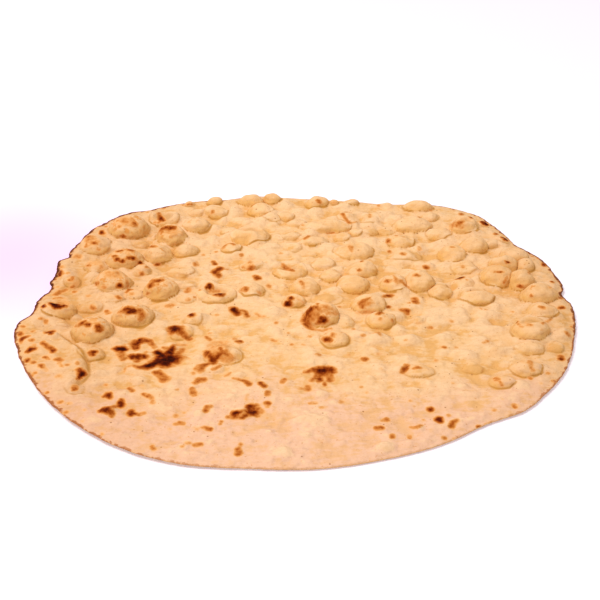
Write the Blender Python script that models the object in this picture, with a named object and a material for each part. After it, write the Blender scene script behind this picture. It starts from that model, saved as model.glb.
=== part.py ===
"""Taftoon bread: one large round flatbread, lying flat.

A thin sheet of dough, wider than it is deep, with a thin rim that curls up a little, covered in the
blisters that puffed up in the oven. The origin is on the surface it lies on, below its middle.
Lengths in the lists are in millimetres, and x runs to the right, y to the back.
"""

import math

import bmesh
import bpy
import numpy as np

MM = 0.001

# Driving dimensions
HALF_WIDTH = 230.0  # of the oval that the edge wanders about
HALF_DEPTH = 200.0
SHEET = 3.2  # thickness of the dough between blisters
RIM = 1.5  # thickness at the very edge
RIM_BAND = 9.0  # width of the band in which the sheet thins to the rim
RIM_BULGE = 0.5  # how far the rounded rim stands out at mid height
RIM_SHARE = 0.999  # outside this share of the radius the side wall is rounded
EDGE_PULL = 4  # power of the share of the radius with which the edge's wandering dies away inwards
FLAT_SHARE = 0.74  # inside this share of the radius the underside is truly flat
CURL_SHARE = 1.06  # where the curl would level off again, beyond the edge
CURL_POWER = 1.5
DOME_POWER = 0.54  # 0.5 is a half ball, 1 a low parabola
SWELL = 0.2  # the share of a blister's height that the dough round it rises too
SWELL_REACH = (0.3, 1.9)  # where that starts and stops fading, in blister radii
DENT_FLOOR = 0.4  # the share of a dent's radius that is its level floor
DENTED_HEIGHT = 3.0  # a blister at least this high takes the whole depth of a dent
FOLD_BANK = (-0.6, 3.0)  # across a fold's line, where the step up starts and ends
FOLD_ENDS = 0.02  # the share of a fold's length at each end where it is lowest
FOLD_TAPER = 0.6
WRINKLE = 0.35  # height of the soft swells of the dough
WAVES = 14
WAVE_LENGTH = (18.0, 60.0)
WAVE_SEED = 7
CRUST_COLOUR = (0.92, 0.66, 0.42, 1.0)
CRUST_ROUGHNESS = 0.62

GRID_CELLS = 230  # along each side of the square grid that is laid out as the sheet
MOST_TRIANGLES = 10400  # left of it once flat stretches are thinned out

# The edge, anticlockwise from the right: (x, y) where it bends.
EDGE = [
    (230, -6), (230, 6), (225, 19), (228, 30), (227, 44), (223, 61), (218, 76), (209, 90), (198, 104),
    (192, 120), (183, 139), (171, 158), (157, 168), (136, 178), (112, 181), (84, 181), (56, 186),
    (22, 190), (-14, 194), (-44, 197), (-70, 190), (-100, 186), (-128, 177), (-146, 168), (-163, 163),
    (-173, 155), (-184, 143), (-193, 131), (-199, 117), (-204, 101), (-208, 86), (-208, 78), (-213, 75),
    (-214, 60), (-214, 45), (-216, 35), (-213, 30), (-214, 22), (-218, 16), (-221, 8), (-222, -4),
    (-224, -15), (-230, -24), (-232, -35), (-230, -48), (-226, -59), (-221, -72), (-210, -95),
    (-193, -122), (-165, -153), (-128, -180), (-87, -196), (-34, -201), (12, -201), (60, -191),
    (104, -174), (140, -151), (170, -135), (188, -115), (207, -88), (219, -58), (226, -32),
]

# How high the rim curls up, by direction from the middle in degrees.
CURL = [(0, 2.6), (45, 3.4), (90, 3.8), (135, 4.4), (180, 5.2), (215, 4.0), (270, 1.0), (320, 1.4)]

# Blisters: (x, y, half width, half depth, height above the sheet).
BLISTERS = [
    # left, from the back to the front
    (-159, 127, 19, 19, 16.5), (-186, 97, 15, 15, 9), (-128, 149, 15, 14, 8), (-96, 136, 14, 13, 10),
    (-118, 113, 14, 14, 16), (-156, 73, 18, 15, 14), (-127, 83, 13, 14, 11.5), (-103, 92, 12, 10, 7.5),
    (-80, 163, 11, 9, 6), (-83, 180, 8, 6, 7.5), (-179, 62, 11, 10, 7.5), (-139, 57, 9, 8, 6),
    (-163, 35, 18, 16, 15), (-118, 23, 16, 15, 14), (-141, 19, 9, 8, 5), (-105, 57, 12, 9, 5),
    (-200, -7, 15, 14, 10.5), (-168, -38, 17, 17, 14), (-138, -18, 17, 15, 14), (-165, -67, 10, 9, 6),
    (-97, -38, 10, 8, 5), (-71, 18, 18, 14, 9), (-60, -69, 15, 13, 6.5), (-146, 105, 8, 6, 4),
    (-160, 11, 12, 7, 5), (-176, 0, 11, 8, 5), (-88, -19, 8, 8, 5), (-100, 36, 10, 8, 4),
    (-96, 13, 8, 7, 4),
    # middle, from the back to the front
    (-47, 183, 13, 9, 10), (-27, 186, 9, 8, 10), (-37, 166, 13, 11, 9), (17, 180, 12, 8, 7.5),
    (50, 180, 8, 6, 6), (-46, 118, 19, 15, 11.5), (-66, 128, 8, 8, 5), (-4, 142, 11, 7, 5),
    (25, 135, 25, 11, 9), (45, 157, 10, 11, 5), (67, 152, 10, 12, 4), (13, 109, 14, 10, 7.5),
    (49, 89, 19, 14, 10), (-62, 96, 9, 10, 7.5), (67, 126, 8, 6, 5), (-43, 66, 11, 9, 6),
    (-8, 56, 15, 13, 8), (-40, 25, 11, 11, 7.5), (5, 30, 14, 13, 9), (21, 68, 11, 10, 6),
    (28, 48, 10, 10, 7.5), (54, 58, 14, 13, 9), (47, 34, 14, 13, 10), (58, 2, 15, 13, 10),
    (19, -17, 15, 15, 15), (37, -23, 9, 9, 5), (29, -48, 12, 11, 7.5), (67, -20, 12, 12, 7.5),
    (-26, 152, 9, 7, 5), (-13, 157, 8, 7, 5), (-8, 121, 9, 7, 4), (40, 118, 9, 7, 5),
    (-4, 8, 10, 9, 7.5), (24, 14, 14, 9, 4),
    # right, from the back to the front
    (106, 137, 19, 13, 10), (114, 171, 15, 9, 9), (124, 153, 9, 8, 5), (154, 133, 14, 14, 11.5),
    (130, 124, 12, 11, 6), (93, 109, 13, 11, 7.5), (159, 98, 13, 13, 11.5), (138, 83, 13, 14, 11.5),
    (193, 80, 13, 12, 9), (95, 84, 15, 10, 5), (82, 34, 12, 13, 10), (104, 37, 14, 15, 12.5),
    (122, 24, 11, 11, 7.5), (146, 62, 12, 11, 6), (142, 37, 11, 9, 5), (151, 15, 15, 13, 9),
    (173, 45, 16, 16, 15), (181, 64, 13, 10, 11.5), (192, 37, 13, 15, 15), (200, 63, 9, 10, 7.5),
    (204, 15, 17, 14, 12.5), (203, -9, 13, 12, 9), (188, -38, 16, 16, 15), (184, -61, 12, 9, 6),
    (155, -104, 10, 9, 6), (176, -87, 12, 12, 7.5), (93, -90, 12, 8, 5), (214, -41, 9, 9, 4),
    (187, 110, 9, 7, 4), (79, 128, 10, 5, 4), (135, -85, 8, 7, 4), (-171, -114, 8, 8, 4),
]

# Blisters whose top fell in again: (x, y, half width, half depth, depth of the dent).
DENTS = [
    (-117, 111, 10, 7, 4), (-128, 150, 12, 11, 6.5), (-71, 19, 13, 10, 7), (-201, -3, 11, 9, 7),
    (-9, 58, 11, 9, 6), (154, 133, 9, 7, 4), (45, 161, 7, 6, 4), (188, -36, 12, 8, 4),
    (-46, 121, 13, 9, 7), (8, -8, 6, 5, 4), (15, 112, 8, 5, 4), (151, 18, 11, 7, 5),
]

# Shallow valleys in the sheet: (x, y at one end, x, y at the other, half width, depth).
VALLEYS = [
    (-45, -164, -5, -143, 7, 1.1), (138, -78, 170, -50, 8, 1.0), (-166, -62, -168, -118, 5, 1.0),
    (120, -130, 60, -150, 10, 0.7), (-120, -120, -60, -112, 9, 0.7),
]

# Folds: a line of points, the step up on its left side going along it, how far that side slopes away.
FOLDS = [
    (
        [(-178, -124), (-169, -113), (-163, -96), (-166, -80), (-178, -59), (-194, -43), (-210, -35)],
        4.6, 34,
    ),
]


def around(table, angle):
    """Reads a closed table of (angle, value) at each angle, smoothly, by a cubic through its rows."""
    turn = 2.0 * math.pi
    rows = sorted((a % turn, v) for a, v in table)
    rows = [(a - turn, v) for a, v in rows[-2:]] + rows + [(a + turn, v) for a, v in rows[:2]]
    at = np.array([a for a, _ in rows])
    value = np.array([v for _, v in rows])
    slope = np.gradient(value, at)
    angle = angle % turn
    row = np.clip(np.searchsorted(at, angle) - 1, 0, len(at) - 2)
    step = at[row + 1] - at[row]
    t = (angle - at[row]) / step
    rise = value[row + 1] - value[row]
    bend_in = slope[row] * step - rise
    bend_out = rise - slope[row + 1] * step
    return value[row] + t * rise + t * (1.0 - t) * ((1.0 - t) * bend_in + t * bend_out)


def edge_radius(angle):
    """How far the edge is from the middle in each direction."""
    return around([(math.atan2(y, x), math.hypot(x, y)) for x, y in EDGE], angle)


def oval_radius(angle):
    return 1.0 / np.hypot(np.cos(angle) / HALF_WIDTH, np.sin(angle) / HALF_DEPTH)


def smooth_step(low, high, value):
    t = np.clip((value - low) / (high - low), 0.0, 1.0)
    return t * t * (3.0 - 2.0 * t)


def square_to_disc(a, b):
    """Lays a square of side 2 out as the unit disc, its rings as circles, cells kept equal in area."""
    wide = np.abs(a) > np.abs(b)
    share = np.where(wide, a, b)
    safe = np.where(share == 0.0, 1.0, share)
    ratio = np.where(wide, b, a) / safe * (math.pi / 4.0)
    angle = np.where(wide, ratio, math.pi / 2.0 - ratio)
    x = share * np.cos(angle)
    y = share * np.sin(angle)
    return np.hypot(x, y), np.arctan2(y, x)


def curl(share, angle):
    """How far the underside is off the surface: nothing in the middle, most at the rim."""
    height = around([(math.radians(a), v) for a, v in CURL], angle)
    return height * smooth_step(FLAT_SHARE, CURL_SHARE, share) ** CURL_POWER


def blister_height(x, y):
    """The highest blister at each point, on dough that swells up round it."""
    dome = np.zeros_like(x)
    swell = np.zeros_like(x)
    for middle_x, middle_y, half_width, half_depth, rise in BLISTERS:
        away = np.hypot((x - middle_x) / half_width, (y - middle_y) / half_depth)
        swell = np.maximum(swell, SWELL * rise * (1.0 - smooth_step(*SWELL_REACH, away)))
        ball = np.clip(1.0 - away * away, 0.0, None) ** DOME_POWER
        dome = np.maximum(dome, (1.0 - SWELL) * rise * ball)
    return dome + swell


def fold_height(x, y):
    """How far the folds lift each point: a steep step beside the line, then a slope away from it."""
    height = np.zeros_like(x)
    for line, step, fade in FOLDS:
        nearest = np.full_like(x, 1e9)
        side = np.zeros_like(x)
        along = np.zeros_like(x)
        for number, ((start_x, start_y), (end_x, end_y)) in enumerate(zip(line[:-1], line[1:])):
            run_x = end_x - start_x
            run_y = end_y - start_y
            run = run_x**2 + run_y**2
            part = np.clip(((x - start_x) * run_x + (y - start_y) * run_y) / run, 0.0, 1.0)
            off_x = x - start_x - part * run_x
            off_y = y - start_y - part * run_y
            off = np.hypot(off_x, off_y)
            closer = off < nearest
            left = np.sign(run_x * (y - start_y) - run_y * (x - start_x))
            nearest = np.where(closer, off, nearest)
            side = np.where(closer, left, side)
            along = np.where(closer, (number + part) / (len(line) - 1), along)
        beside = nearest * side
        taper = np.sin(math.pi * np.clip(along, FOLD_ENDS, 1.0 - FOLD_ENDS)) ** FOLD_TAPER
        bank = smooth_step(*FOLD_BANK, beside) * (1.0 - smooth_step(FOLD_BANK[1], fade, beside))
        height = np.maximum(height, step * taper * bank)
    return height


def dent_depth(x, y):
    depth = np.zeros_like(x)
    for middle_x, middle_y, half_width, half_depth, fall in DENTS:
        away = np.hypot((x - middle_x) / half_width, (y - middle_y) / half_depth)
        depth = np.maximum(depth, fall * (1.0 - smooth_step(DENT_FLOOR, 1.0, away)))
    return depth


def valley_depth(x, y):
    depth = np.zeros_like(x)
    for start_x, start_y, end_x, end_y, half_width, fall in VALLEYS:
        run_x = end_x - start_x
        run_y = end_y - start_y
        along = ((x - start_x) * run_x + (y - start_y) * run_y) / (run_x**2 + run_y**2)
        along = np.clip(along, 0.0, 1.0)
        away = np.hypot(x - start_x - along * run_x, y - start_y - along * run_y) / half_width
        depth = np.maximum(depth, fall * (1.0 - smooth_step(0.0, 1.0, away)))
    return depth


def unevenness(x, y):
    """Soft swells of the dough, as a sum of waves in drawn directions, between about -1 and 1."""
    draw = np.random.default_rng(WAVE_SEED)
    total = np.zeros_like(x)
    for _ in range(WAVES):
        length = draw.uniform(*WAVE_LENGTH)
        heading, phase = draw.uniform(0.0, 2.0 * math.pi, 2)
        along = x * math.cos(heading) + y * math.sin(heading)
        total += np.sin(2.0 * math.pi * along / length + phase)
    return total / math.sqrt(WAVES)


def slab():
    """A square grid of side 2 made into a slab: 0 at the underside, 1 on top, two rings between."""
    bm = bmesh.new()
    bmesh.ops.create_grid(bm, x_segments=GRID_CELLS, y_segments=GRID_CELLS, size=1.0)
    grown = bmesh.ops.extrude_face_region(bm, geom=bm.faces[:])
    top = [item for item in grown["geom"] if isinstance(item, bmesh.types.BMVert)]
    bmesh.ops.translate(bm, verts=top, vec=(0.0, 0.0, 1.0))
    upright = [e for e in bm.edges if abs(e.verts[0].co.z - e.verts[1].co.z) > 0.5]
    bmesh.ops.subdivide_edges(bm, edges=upright, cuts=2)
    bmesh.ops.recalc_face_normals(bm, faces=bm.faces[:])
    mesh = bpy.data.meshes.new("taftoon_bread")
    bm.to_mesh(mesh)
    bm.free()
    return mesh


def shape_bread(mesh):
    """Moves every point of the slab to its place on the bread."""
    points = np.empty(len(mesh.vertices) * 3, dtype=np.float32)
    mesh.vertices.foreach_get("co", points)
    points = points.reshape(-1, 3).astype(float)
    level = points[:, 2]
    share, angle = square_to_disc(points[:, 0], points[:, 1])

    oval = oval_radius(angle)
    radius = share * (oval + (edge_radius(angle) - oval) * share**EDGE_PULL)
    bulge = RIM_BULGE * np.sin(math.pi * level) * smooth_step(RIM_SHARE, 1.0, share)
    x = (radius + bulge) * np.cos(angle)
    y = (radius + bulge) * np.sin(angle)

    from_edge = (1.0 - share) * edge_radius(angle)
    inward = smooth_step(0.0, RIM_BAND, from_edge)
    sheet = RIM + (SHEET - RIM) * inward + WRINKLE * unevenness(x, y) * inward - valley_depth(x, y)
    relief = blister_height(x, y)
    relief -= dent_depth(x, y) * smooth_step(0.0, DENTED_HEIGHT, relief)
    relief += fold_height(x, y)
    thickness = np.clip(sheet + relief * inward, RIM, None)
    z = curl(share, angle) + level * thickness

    middle_x = (x.min() + x.max()) / 2.0
    middle_y = (y.min() + y.max()) / 2.0
    points[:, 0] = (x - middle_x) * MM
    points[:, 1] = (y - middle_y) * MM
    points[:, 2] = z * MM
    mesh.vertices.foreach_set("co", points.astype(np.float32).ravel())
    mesh.update()


def crust():
    material = bpy.data.materials.new("crust")
    material.use_nodes = True
    shader = material.node_tree.nodes["Principled BSDF"]
    shader.inputs["Base Color"].default_value = CRUST_COLOUR
    shader.inputs["Roughness"].default_value = CRUST_ROUGHNESS
    shader.inputs["Metallic"].default_value = 0.0
    return material


def make_bread():
    mesh = slab()
    shape_bread(mesh)
    mesh.materials.append(crust())
    mesh.shade_smooth()
    bread = bpy.data.objects.new("bread", mesh)
    collection = bpy.data.collections.new("taftoon_bread")
    bpy.context.scene.collection.children.link(collection)
    collection.objects.link(bread)

    mesh.calc_loop_triangles()
    thin = bread.modifiers.new("thin_out", "DECIMATE")
    thin.decimate_type = "COLLAPSE"
    thin.ratio = MOST_TRIANGLES / len(mesh.loop_triangles)
    thin.use_collapse_triangulate = True
    return bread


for old in list(bpy.data.objects):
    bpy.data.objects.remove(old, do_unlink=True)
make_bread()
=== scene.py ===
import math

import bmesh
import bpy
import numpy as np
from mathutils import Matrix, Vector


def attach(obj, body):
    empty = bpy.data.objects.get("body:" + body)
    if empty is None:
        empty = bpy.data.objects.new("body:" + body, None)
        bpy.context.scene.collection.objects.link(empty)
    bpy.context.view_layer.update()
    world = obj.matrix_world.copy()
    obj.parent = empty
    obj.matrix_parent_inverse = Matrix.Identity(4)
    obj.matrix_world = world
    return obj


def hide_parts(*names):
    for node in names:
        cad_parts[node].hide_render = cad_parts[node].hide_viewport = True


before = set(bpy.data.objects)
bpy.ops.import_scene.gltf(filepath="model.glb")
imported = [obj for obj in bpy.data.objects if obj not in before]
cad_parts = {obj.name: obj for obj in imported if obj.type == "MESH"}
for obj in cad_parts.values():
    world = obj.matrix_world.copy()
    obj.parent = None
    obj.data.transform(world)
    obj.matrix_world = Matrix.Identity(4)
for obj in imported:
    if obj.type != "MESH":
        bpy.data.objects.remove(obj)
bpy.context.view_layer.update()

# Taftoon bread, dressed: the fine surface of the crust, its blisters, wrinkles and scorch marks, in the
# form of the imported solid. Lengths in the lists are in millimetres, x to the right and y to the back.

MM = 0.001

# ---- Driving sizes, as in the solid ------------------------------
HALF_WIDTH = 230.0  # of the oval that the edge wanders about
HALF_DEPTH = 200.0
SHEET = 3.2  # thickness of the dough between blisters
RIM = 1.5  # thickness at the very edge
RIM_BAND = 9.0  # width of the band in which the sheet thins to the rim
RIM_BULGE = 0.5  # how far the rounded rim stands out at mid height
RIM_SHARE = 0.999  # outside this share of the radius the side wall is rounded
EDGE_PULL = 4  # power of the share of the radius with which the edge's wandering dies away inwards
FLAT_SHARE = 0.74  # inside this share of the radius the underside is truly flat
CURL_SHARE = 1.06  # where the curl would level off again, beyond the edge
CURL_POWER = 1.5
SWELL = 0.2  # the share of a blister's height that the dough round it rises too
SWELL_REACH = (0.3, 1.9)  # where that starts and stops fading, in blister radii
DENT_FLOOR = 0.4  # the share of a dent's radius that is its level floor
DENTED_HEIGHT = 3.0  # a blister at least this high takes the whole depth of a dent
FOLD_BANK = (-0.6, 3.0)  # across a fold's line, where the step up starts and ends
FOLD_ENDS = 0.02  # the share of a fold's length at each end where it is lowest
FOLD_TAPER = 0.6

# The edge seen from above, (x, y), anticlockwise from the right.
EDGE = [
    (230, -6), (230, 6), (225, 19), (228, 30), (227, 44), (223, 61), (218, 76), (209, 90), (198, 104),
    (192, 120), (183, 139), (171, 158), (157, 168), (136, 178), (112, 181), (84, 181), (56, 186),
    (22, 190), (-14, 194), (-44, 197), (-70, 190), (-100, 186), (-128, 177), (-146, 168), (-163, 163),
    (-173, 155), (-184, 143), (-193, 131), (-199, 117), (-204, 101), (-208, 86), (-208, 78), (-213, 75),
    (-214, 60), (-214, 45), (-216, 35), (-213, 30), (-214, 22), (-218, 16), (-221, 8), (-222, -4),
    (-224, -15), (-230, -24), (-232, -35), (-230, -48), (-226, -59), (-221, -72), (-210, -95),
    (-193, -122), (-165, -153), (-128, -180), (-87, -196), (-34, -201), (12, -201), (60, -191),
    (104, -174), (140, -151), (170, -135), (188, -115), (207, -88), (219, -58), (226, -32),
]
# How far the rim curls up, by direction from the middle in degrees.
CURL = [(0, 2.6), (45, 3.4), (90, 3.8), (135, 4.4), (180, 5.2), (215, 4.0), (270, 1.0), (320, 1.4)]

# Blisters: (x, y, half width, half depth, height above the sheet).
BLISTERS = [
    # left, from the back to the front
    (-159, 127, 19, 19, 16.5), (-186, 97, 15, 15, 9), (-128, 149, 15, 14, 8), (-96, 136, 14, 13, 10),
    (-118, 113, 14, 14, 16), (-156, 73, 18, 15, 14), (-127, 83, 13, 14, 11.5), (-103, 92, 12, 10, 7.5),
    (-80, 163, 11, 9, 6), (-83, 180, 8, 6, 7.5), (-179, 62, 11, 10, 7.5), (-139, 57, 9, 8, 6),
    (-163, 35, 18, 16, 15), (-118, 23, 16, 15, 14), (-141, 19, 9, 8, 5), (-105, 57, 12, 9, 5),
    (-200, -7, 15, 14, 10.5), (-168, -38, 17, 17, 14), (-138, -18, 17, 15, 14), (-165, -67, 10, 9, 6),
    (-97, -38, 10, 8, 5), (-71, 18, 18, 14, 9), (-60, -69, 15, 13, 6.5), (-146, -52, 8, 5, 2),
    (-98, 162, 7, 6, 4), (-146, 105, 8, 6, 4), (-160, 11, 12, 7, 5), (-176, 0, 11, 8, 5),
    (-197, 38, 7, 8, 6), (-195, -26, 6, 6, 3), (-88, -19, 8, 8, 5), (-107, 177, 5, 5, 5),
    (-203, 83, 8, 6, 3), (-100, 36, 10, 8, 4), (-96, 13, 8, 7, 4), (-176, 28, 7, 5, 3),
    # middle, from the back to the front
    (-47, 183, 13, 9, 10), (-27, 186, 9, 8, 10), (-37, 166, 13, 11, 9), (17, 180, 12, 8, 7.5),
    (50, 180, 8, 6, 6), (-46, 118, 19, 15, 11.5), (-66, 128, 8, 8, 5), (-4, 142, 11, 7, 5),
    (25, 135, 25, 11, 9), (45, 157, 10, 11, 5), (67, 152, 10, 12, 4), (13, 109, 14, 10, 7.5),
    (49, 89, 19, 14, 10), (-62, 96, 9, 10, 7.5), (67, 126, 8, 6, 5), (-43, 66, 11, 9, 6),
    (-8, 56, 15, 13, 8), (-40, 25, 11, 11, 7.5), (5, 30, 14, 13, 9), (21, 68, 11, 10, 6),
    (28, 48, 10, 10, 7.5), (54, 58, 14, 13, 9), (47, 34, 14, 13, 10), (58, 2, 15, 13, 10),
    (19, -17, 15, 15, 15), (37, -23, 9, 9, 5), (29, -48, 12, 11, 7.5), (67, -20, 12, 12, 7.5),
    (-26, 152, 9, 7, 5), (-13, 157, 8, 7, 5), (-57, 143, 13, 6, 3), (34, 183, 5, 5, 5),
    (-8, 121, 9, 7, 4), (-4, 98, 7, 6, 4), (40, 118, 9, 7, 5), (53, 125, 7, 7, 5),
    (69, 67, 9, 6, 3), (-4, 8, 10, 9, 7.5), (62, -44, 8, 7, 2), (24, 14, 14, 9, 4),
    # right, from the back to the front
    (106, 137, 19, 13, 10), (114, 171, 15, 9, 9), (124, 153, 9, 8, 5), (154, 133, 14, 14, 11.5),
    (130, 124, 12, 11, 6), (93, 109, 13, 11, 7.5), (159, 98, 13, 13, 11.5), (138, 83, 13, 14, 11.5),
    (193, 80, 13, 12, 9), (95, 84, 15, 10, 5), (82, 34, 12, 13, 10), (104, 37, 14, 15, 12.5),
    (122, 24, 11, 11, 7.5), (146, 62, 12, 11, 6), (142, 37, 11, 9, 5), (151, 15, 15, 13, 9),
    (173, 45, 16, 16, 15), (181, 64, 13, 10, 11.5), (192, 37, 13, 15, 15), (200, 63, 9, 10, 7.5),
    (204, 15, 17, 14, 12.5), (203, -9, 13, 12, 9), (188, -38, 16, 16, 15), (184, -61, 12, 9, 6),
    (155, -104, 10, 9, 6), (176, -87, 12, 12, 7.5), (93, -90, 12, 8, 5), (214, -41, 9, 9, 4),
    (175, 101, 6, 6, 5), (173, 140, 6, 6, 4), (187, 110, 9, 7, 4), (79, 128, 10, 5, 4),
    (205, -58, 7, 7, 4), (99, -18, 6, 6, 3), (135, -85, 8, 7, 4), (-171, -114, 8, 8, 4),
]

# Blisters whose top fell in again: (x, y, half width, half depth, depth of the dent).
DENTS = [
    (-117, 111, 10, 7, 4), (-128, 150, 12, 11, 6.5), (-71, 19, 13, 10, 7), (-201, -3, 11, 9, 7),
    (-9, 58, 11, 9, 6), (154, 133, 9, 7, 4), (45, 161, 7, 6, 4), (188, -36, 12, 8, 4),
    (-46, 121, 13, 9, 7), (8, -8, 6, 5, 4), (15, 112, 8, 5, 4), (151, 18, 11, 7, 5),
]

# Shallow valleys in the sheet: (x, y at one end, x, y at the other, half width, depth).
VALLEYS = [
    (-45, -164, -5, -143, 7, 1.1), (138, -78, 170, -50, 8, 1.0), (-166, -62, -168, -118, 5, 1.0),
    (120, -130, 60, -150, 10, 0.7), (-120, -120, -60, -112, 9, 0.7),
]

# Folds: a line of points, the step up on its left side going along it, how far that side slopes away.
FOLDS = [
    (
        [(-178, -124), (-169, -113), (-163, -96), (-166, -80), (-178, -59), (-194, -43), (-210, -35)],
        4.6, 34,
    ),
]

# ---- Fine detail, finer than the solid's ------------------------------
TINY = 1e-6  # keeps a length from being 0 where it divides
GRID_CELLS = 280  # along each side of the grid laid out as the top
KEPT_SHARE = 0.56  # of the triangles, once the flat underside is thinned out
THINNEST = 0.8  # the least thickness of the dough, as a share of the rim's
ON_TOP = 0.99  # points above this level are on top, at 1
BELOW = 0.01  # points under this level are the underside's, at 0

# A blister's skin runs from a low cushion to a steep bubble by how high it is for its depth.
STEEP_AT = (0.3, 0.62)
CUSHION_POWER = 2.0  # of the cosine that its profile follows
BUBBLE_POWER = (0.62, 0.4)  # taken off it on a bubble: all round, and on its sharp side besides
BULGE = (0.6, 0.4)  # how far a bubble's skin leans out over its foot, in the same way
SHARP_TURN = 0.35  # the sharp side looks to the front, turned this far to the right, in radians
CLEAR_SHARE = 0.6  # a skin leans out in full where its neighbour's is lower by this share
LEAST_SKIN = 0.01  # keeps a skin's height from being 0 where it divides
CREASE_SHADE_HALF = (1.8, 2.3)  # half widths of the painted shade along the foot, on the blister and off it
CREASE_SHADE_BACK = 0.25  # the share of the painted foot shade left on the side away from the sharp one
FULL_CREASE_SHADE = 8.0  # a blister this high has the whole painted shade at its foot
LOW_SKIN = 0.3  # where the skin is lower than this, the last blister near it gives the painted shade at the foot
DENT_SHADE = 0.4  # the share of the painted foot shade that is also painted inside a dent
FOLD_SHADE_HALF = (3.4, 2.2)  # half widths of the painted shade at a fold's foot, below the step and on it
# how strong the painted shade at a fold's foot is
FOLD_SHADE = 0.7

SMALL_PILLOWS = 560
PILLOW_SEED = 31
PILLOW_SHARE = 0.96  # of the oval's radius, within which they lie
PILLOW_CHANCE = 0.3  # how likely one is at the front, where 1 is sure
PILLOW_BAND = (-90.0, 20.0)  # between which y it grows to sure
PILLOW_ASIDE = 0.25  # and how much sooner it does for each millimetre to the side
PILLOW_SIZE = (3.0, 6.5)  # the least half depth, and how much is added to it at most
PILLOW_SLOPE = (0.2, 0.2)  # the same for the height, as shares of the half depth
MOSTLY_SMALL = 1.5  # power of the random share, which makes more of them small than large
PILLOW_STRETCH = 0.6
PILLOW_RISE = 1.3
PILLOW_POWER = 1.3
PILLOW_ROOM = (1.0, 6.0)  # the heights of a blister between which the pillows on it fade out

# How the plane wanders under the round forms: (how far, size, seed in x, seed in y).
BENDS = [(1.0, 13.0, 41, 43), (0.7, 5.0, 42, 44)]
# Swells, wrinkles and pocks: (height, more at the back, size, seed, squeeze in x).
RELIEF = [
    (1.0, 0.5, 13.0, 3, 1.0), (0.7, 0.0, 30.0, 4, 1.0), (0.6, 0.25, 6.5, 5, 1.0),
    (0.12, 0.10, 3.4, 6, 1.0), (0.6, 0.0, 6.0, 7, 0.35),
]
RELIEF_BAND = (-120.0, 60.0)
# The ragged browned edge: (how far in and out, size, seed).
RAGGED = [(0.7, 9.0, 8), (0.85, 3.0, 9)]

# Noise is drawn on a square lattice that repeats, turned by a random angle.
LATTICE = 97
HEADINGS = (0.2, 1.3)  # in radians
LATTICE_SHIFT = 200.0  # moves the lattice's corner off the bread, in cells

# Scorch marks
SIGHT_HALF = 2.4  # points this near to a line of sight can carry its mark
NEARER_FRONT = 0.35  # how far a step to the front nears the eye, against a step up
MARK_REACH = (2.8, 4.0)  # how far a mark is drawn at most: half widths, and millimetres beyond them
MARK_SPREAD = (1.4, 1.15)  # its scale: of the half width, and millimetres added
MARK_FADE = (0.1, 1.6)  # where its colour starts and stops fading, in that scale
MARK_END = 0.75  # the share of its reach within which it is whole
MARK_WAVER = [(1.9, 5.5), (1.1, 2.6)]  # its uneven edge: (how far, size)
MARK_SEEDS = (21, 23)
WAVER_SHARE = 0.17  # how much of that for each millimetre of half width
MOTTLE = 0.11  # how uneven a mark's burn is
DARKEN = 0.25  # makes the middle tones darker and leaves 0 and 1 as they are
HALO_WIDTH = 3.0  # of the toasted skin round a mark
HALO_FADE = 1.3

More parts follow.
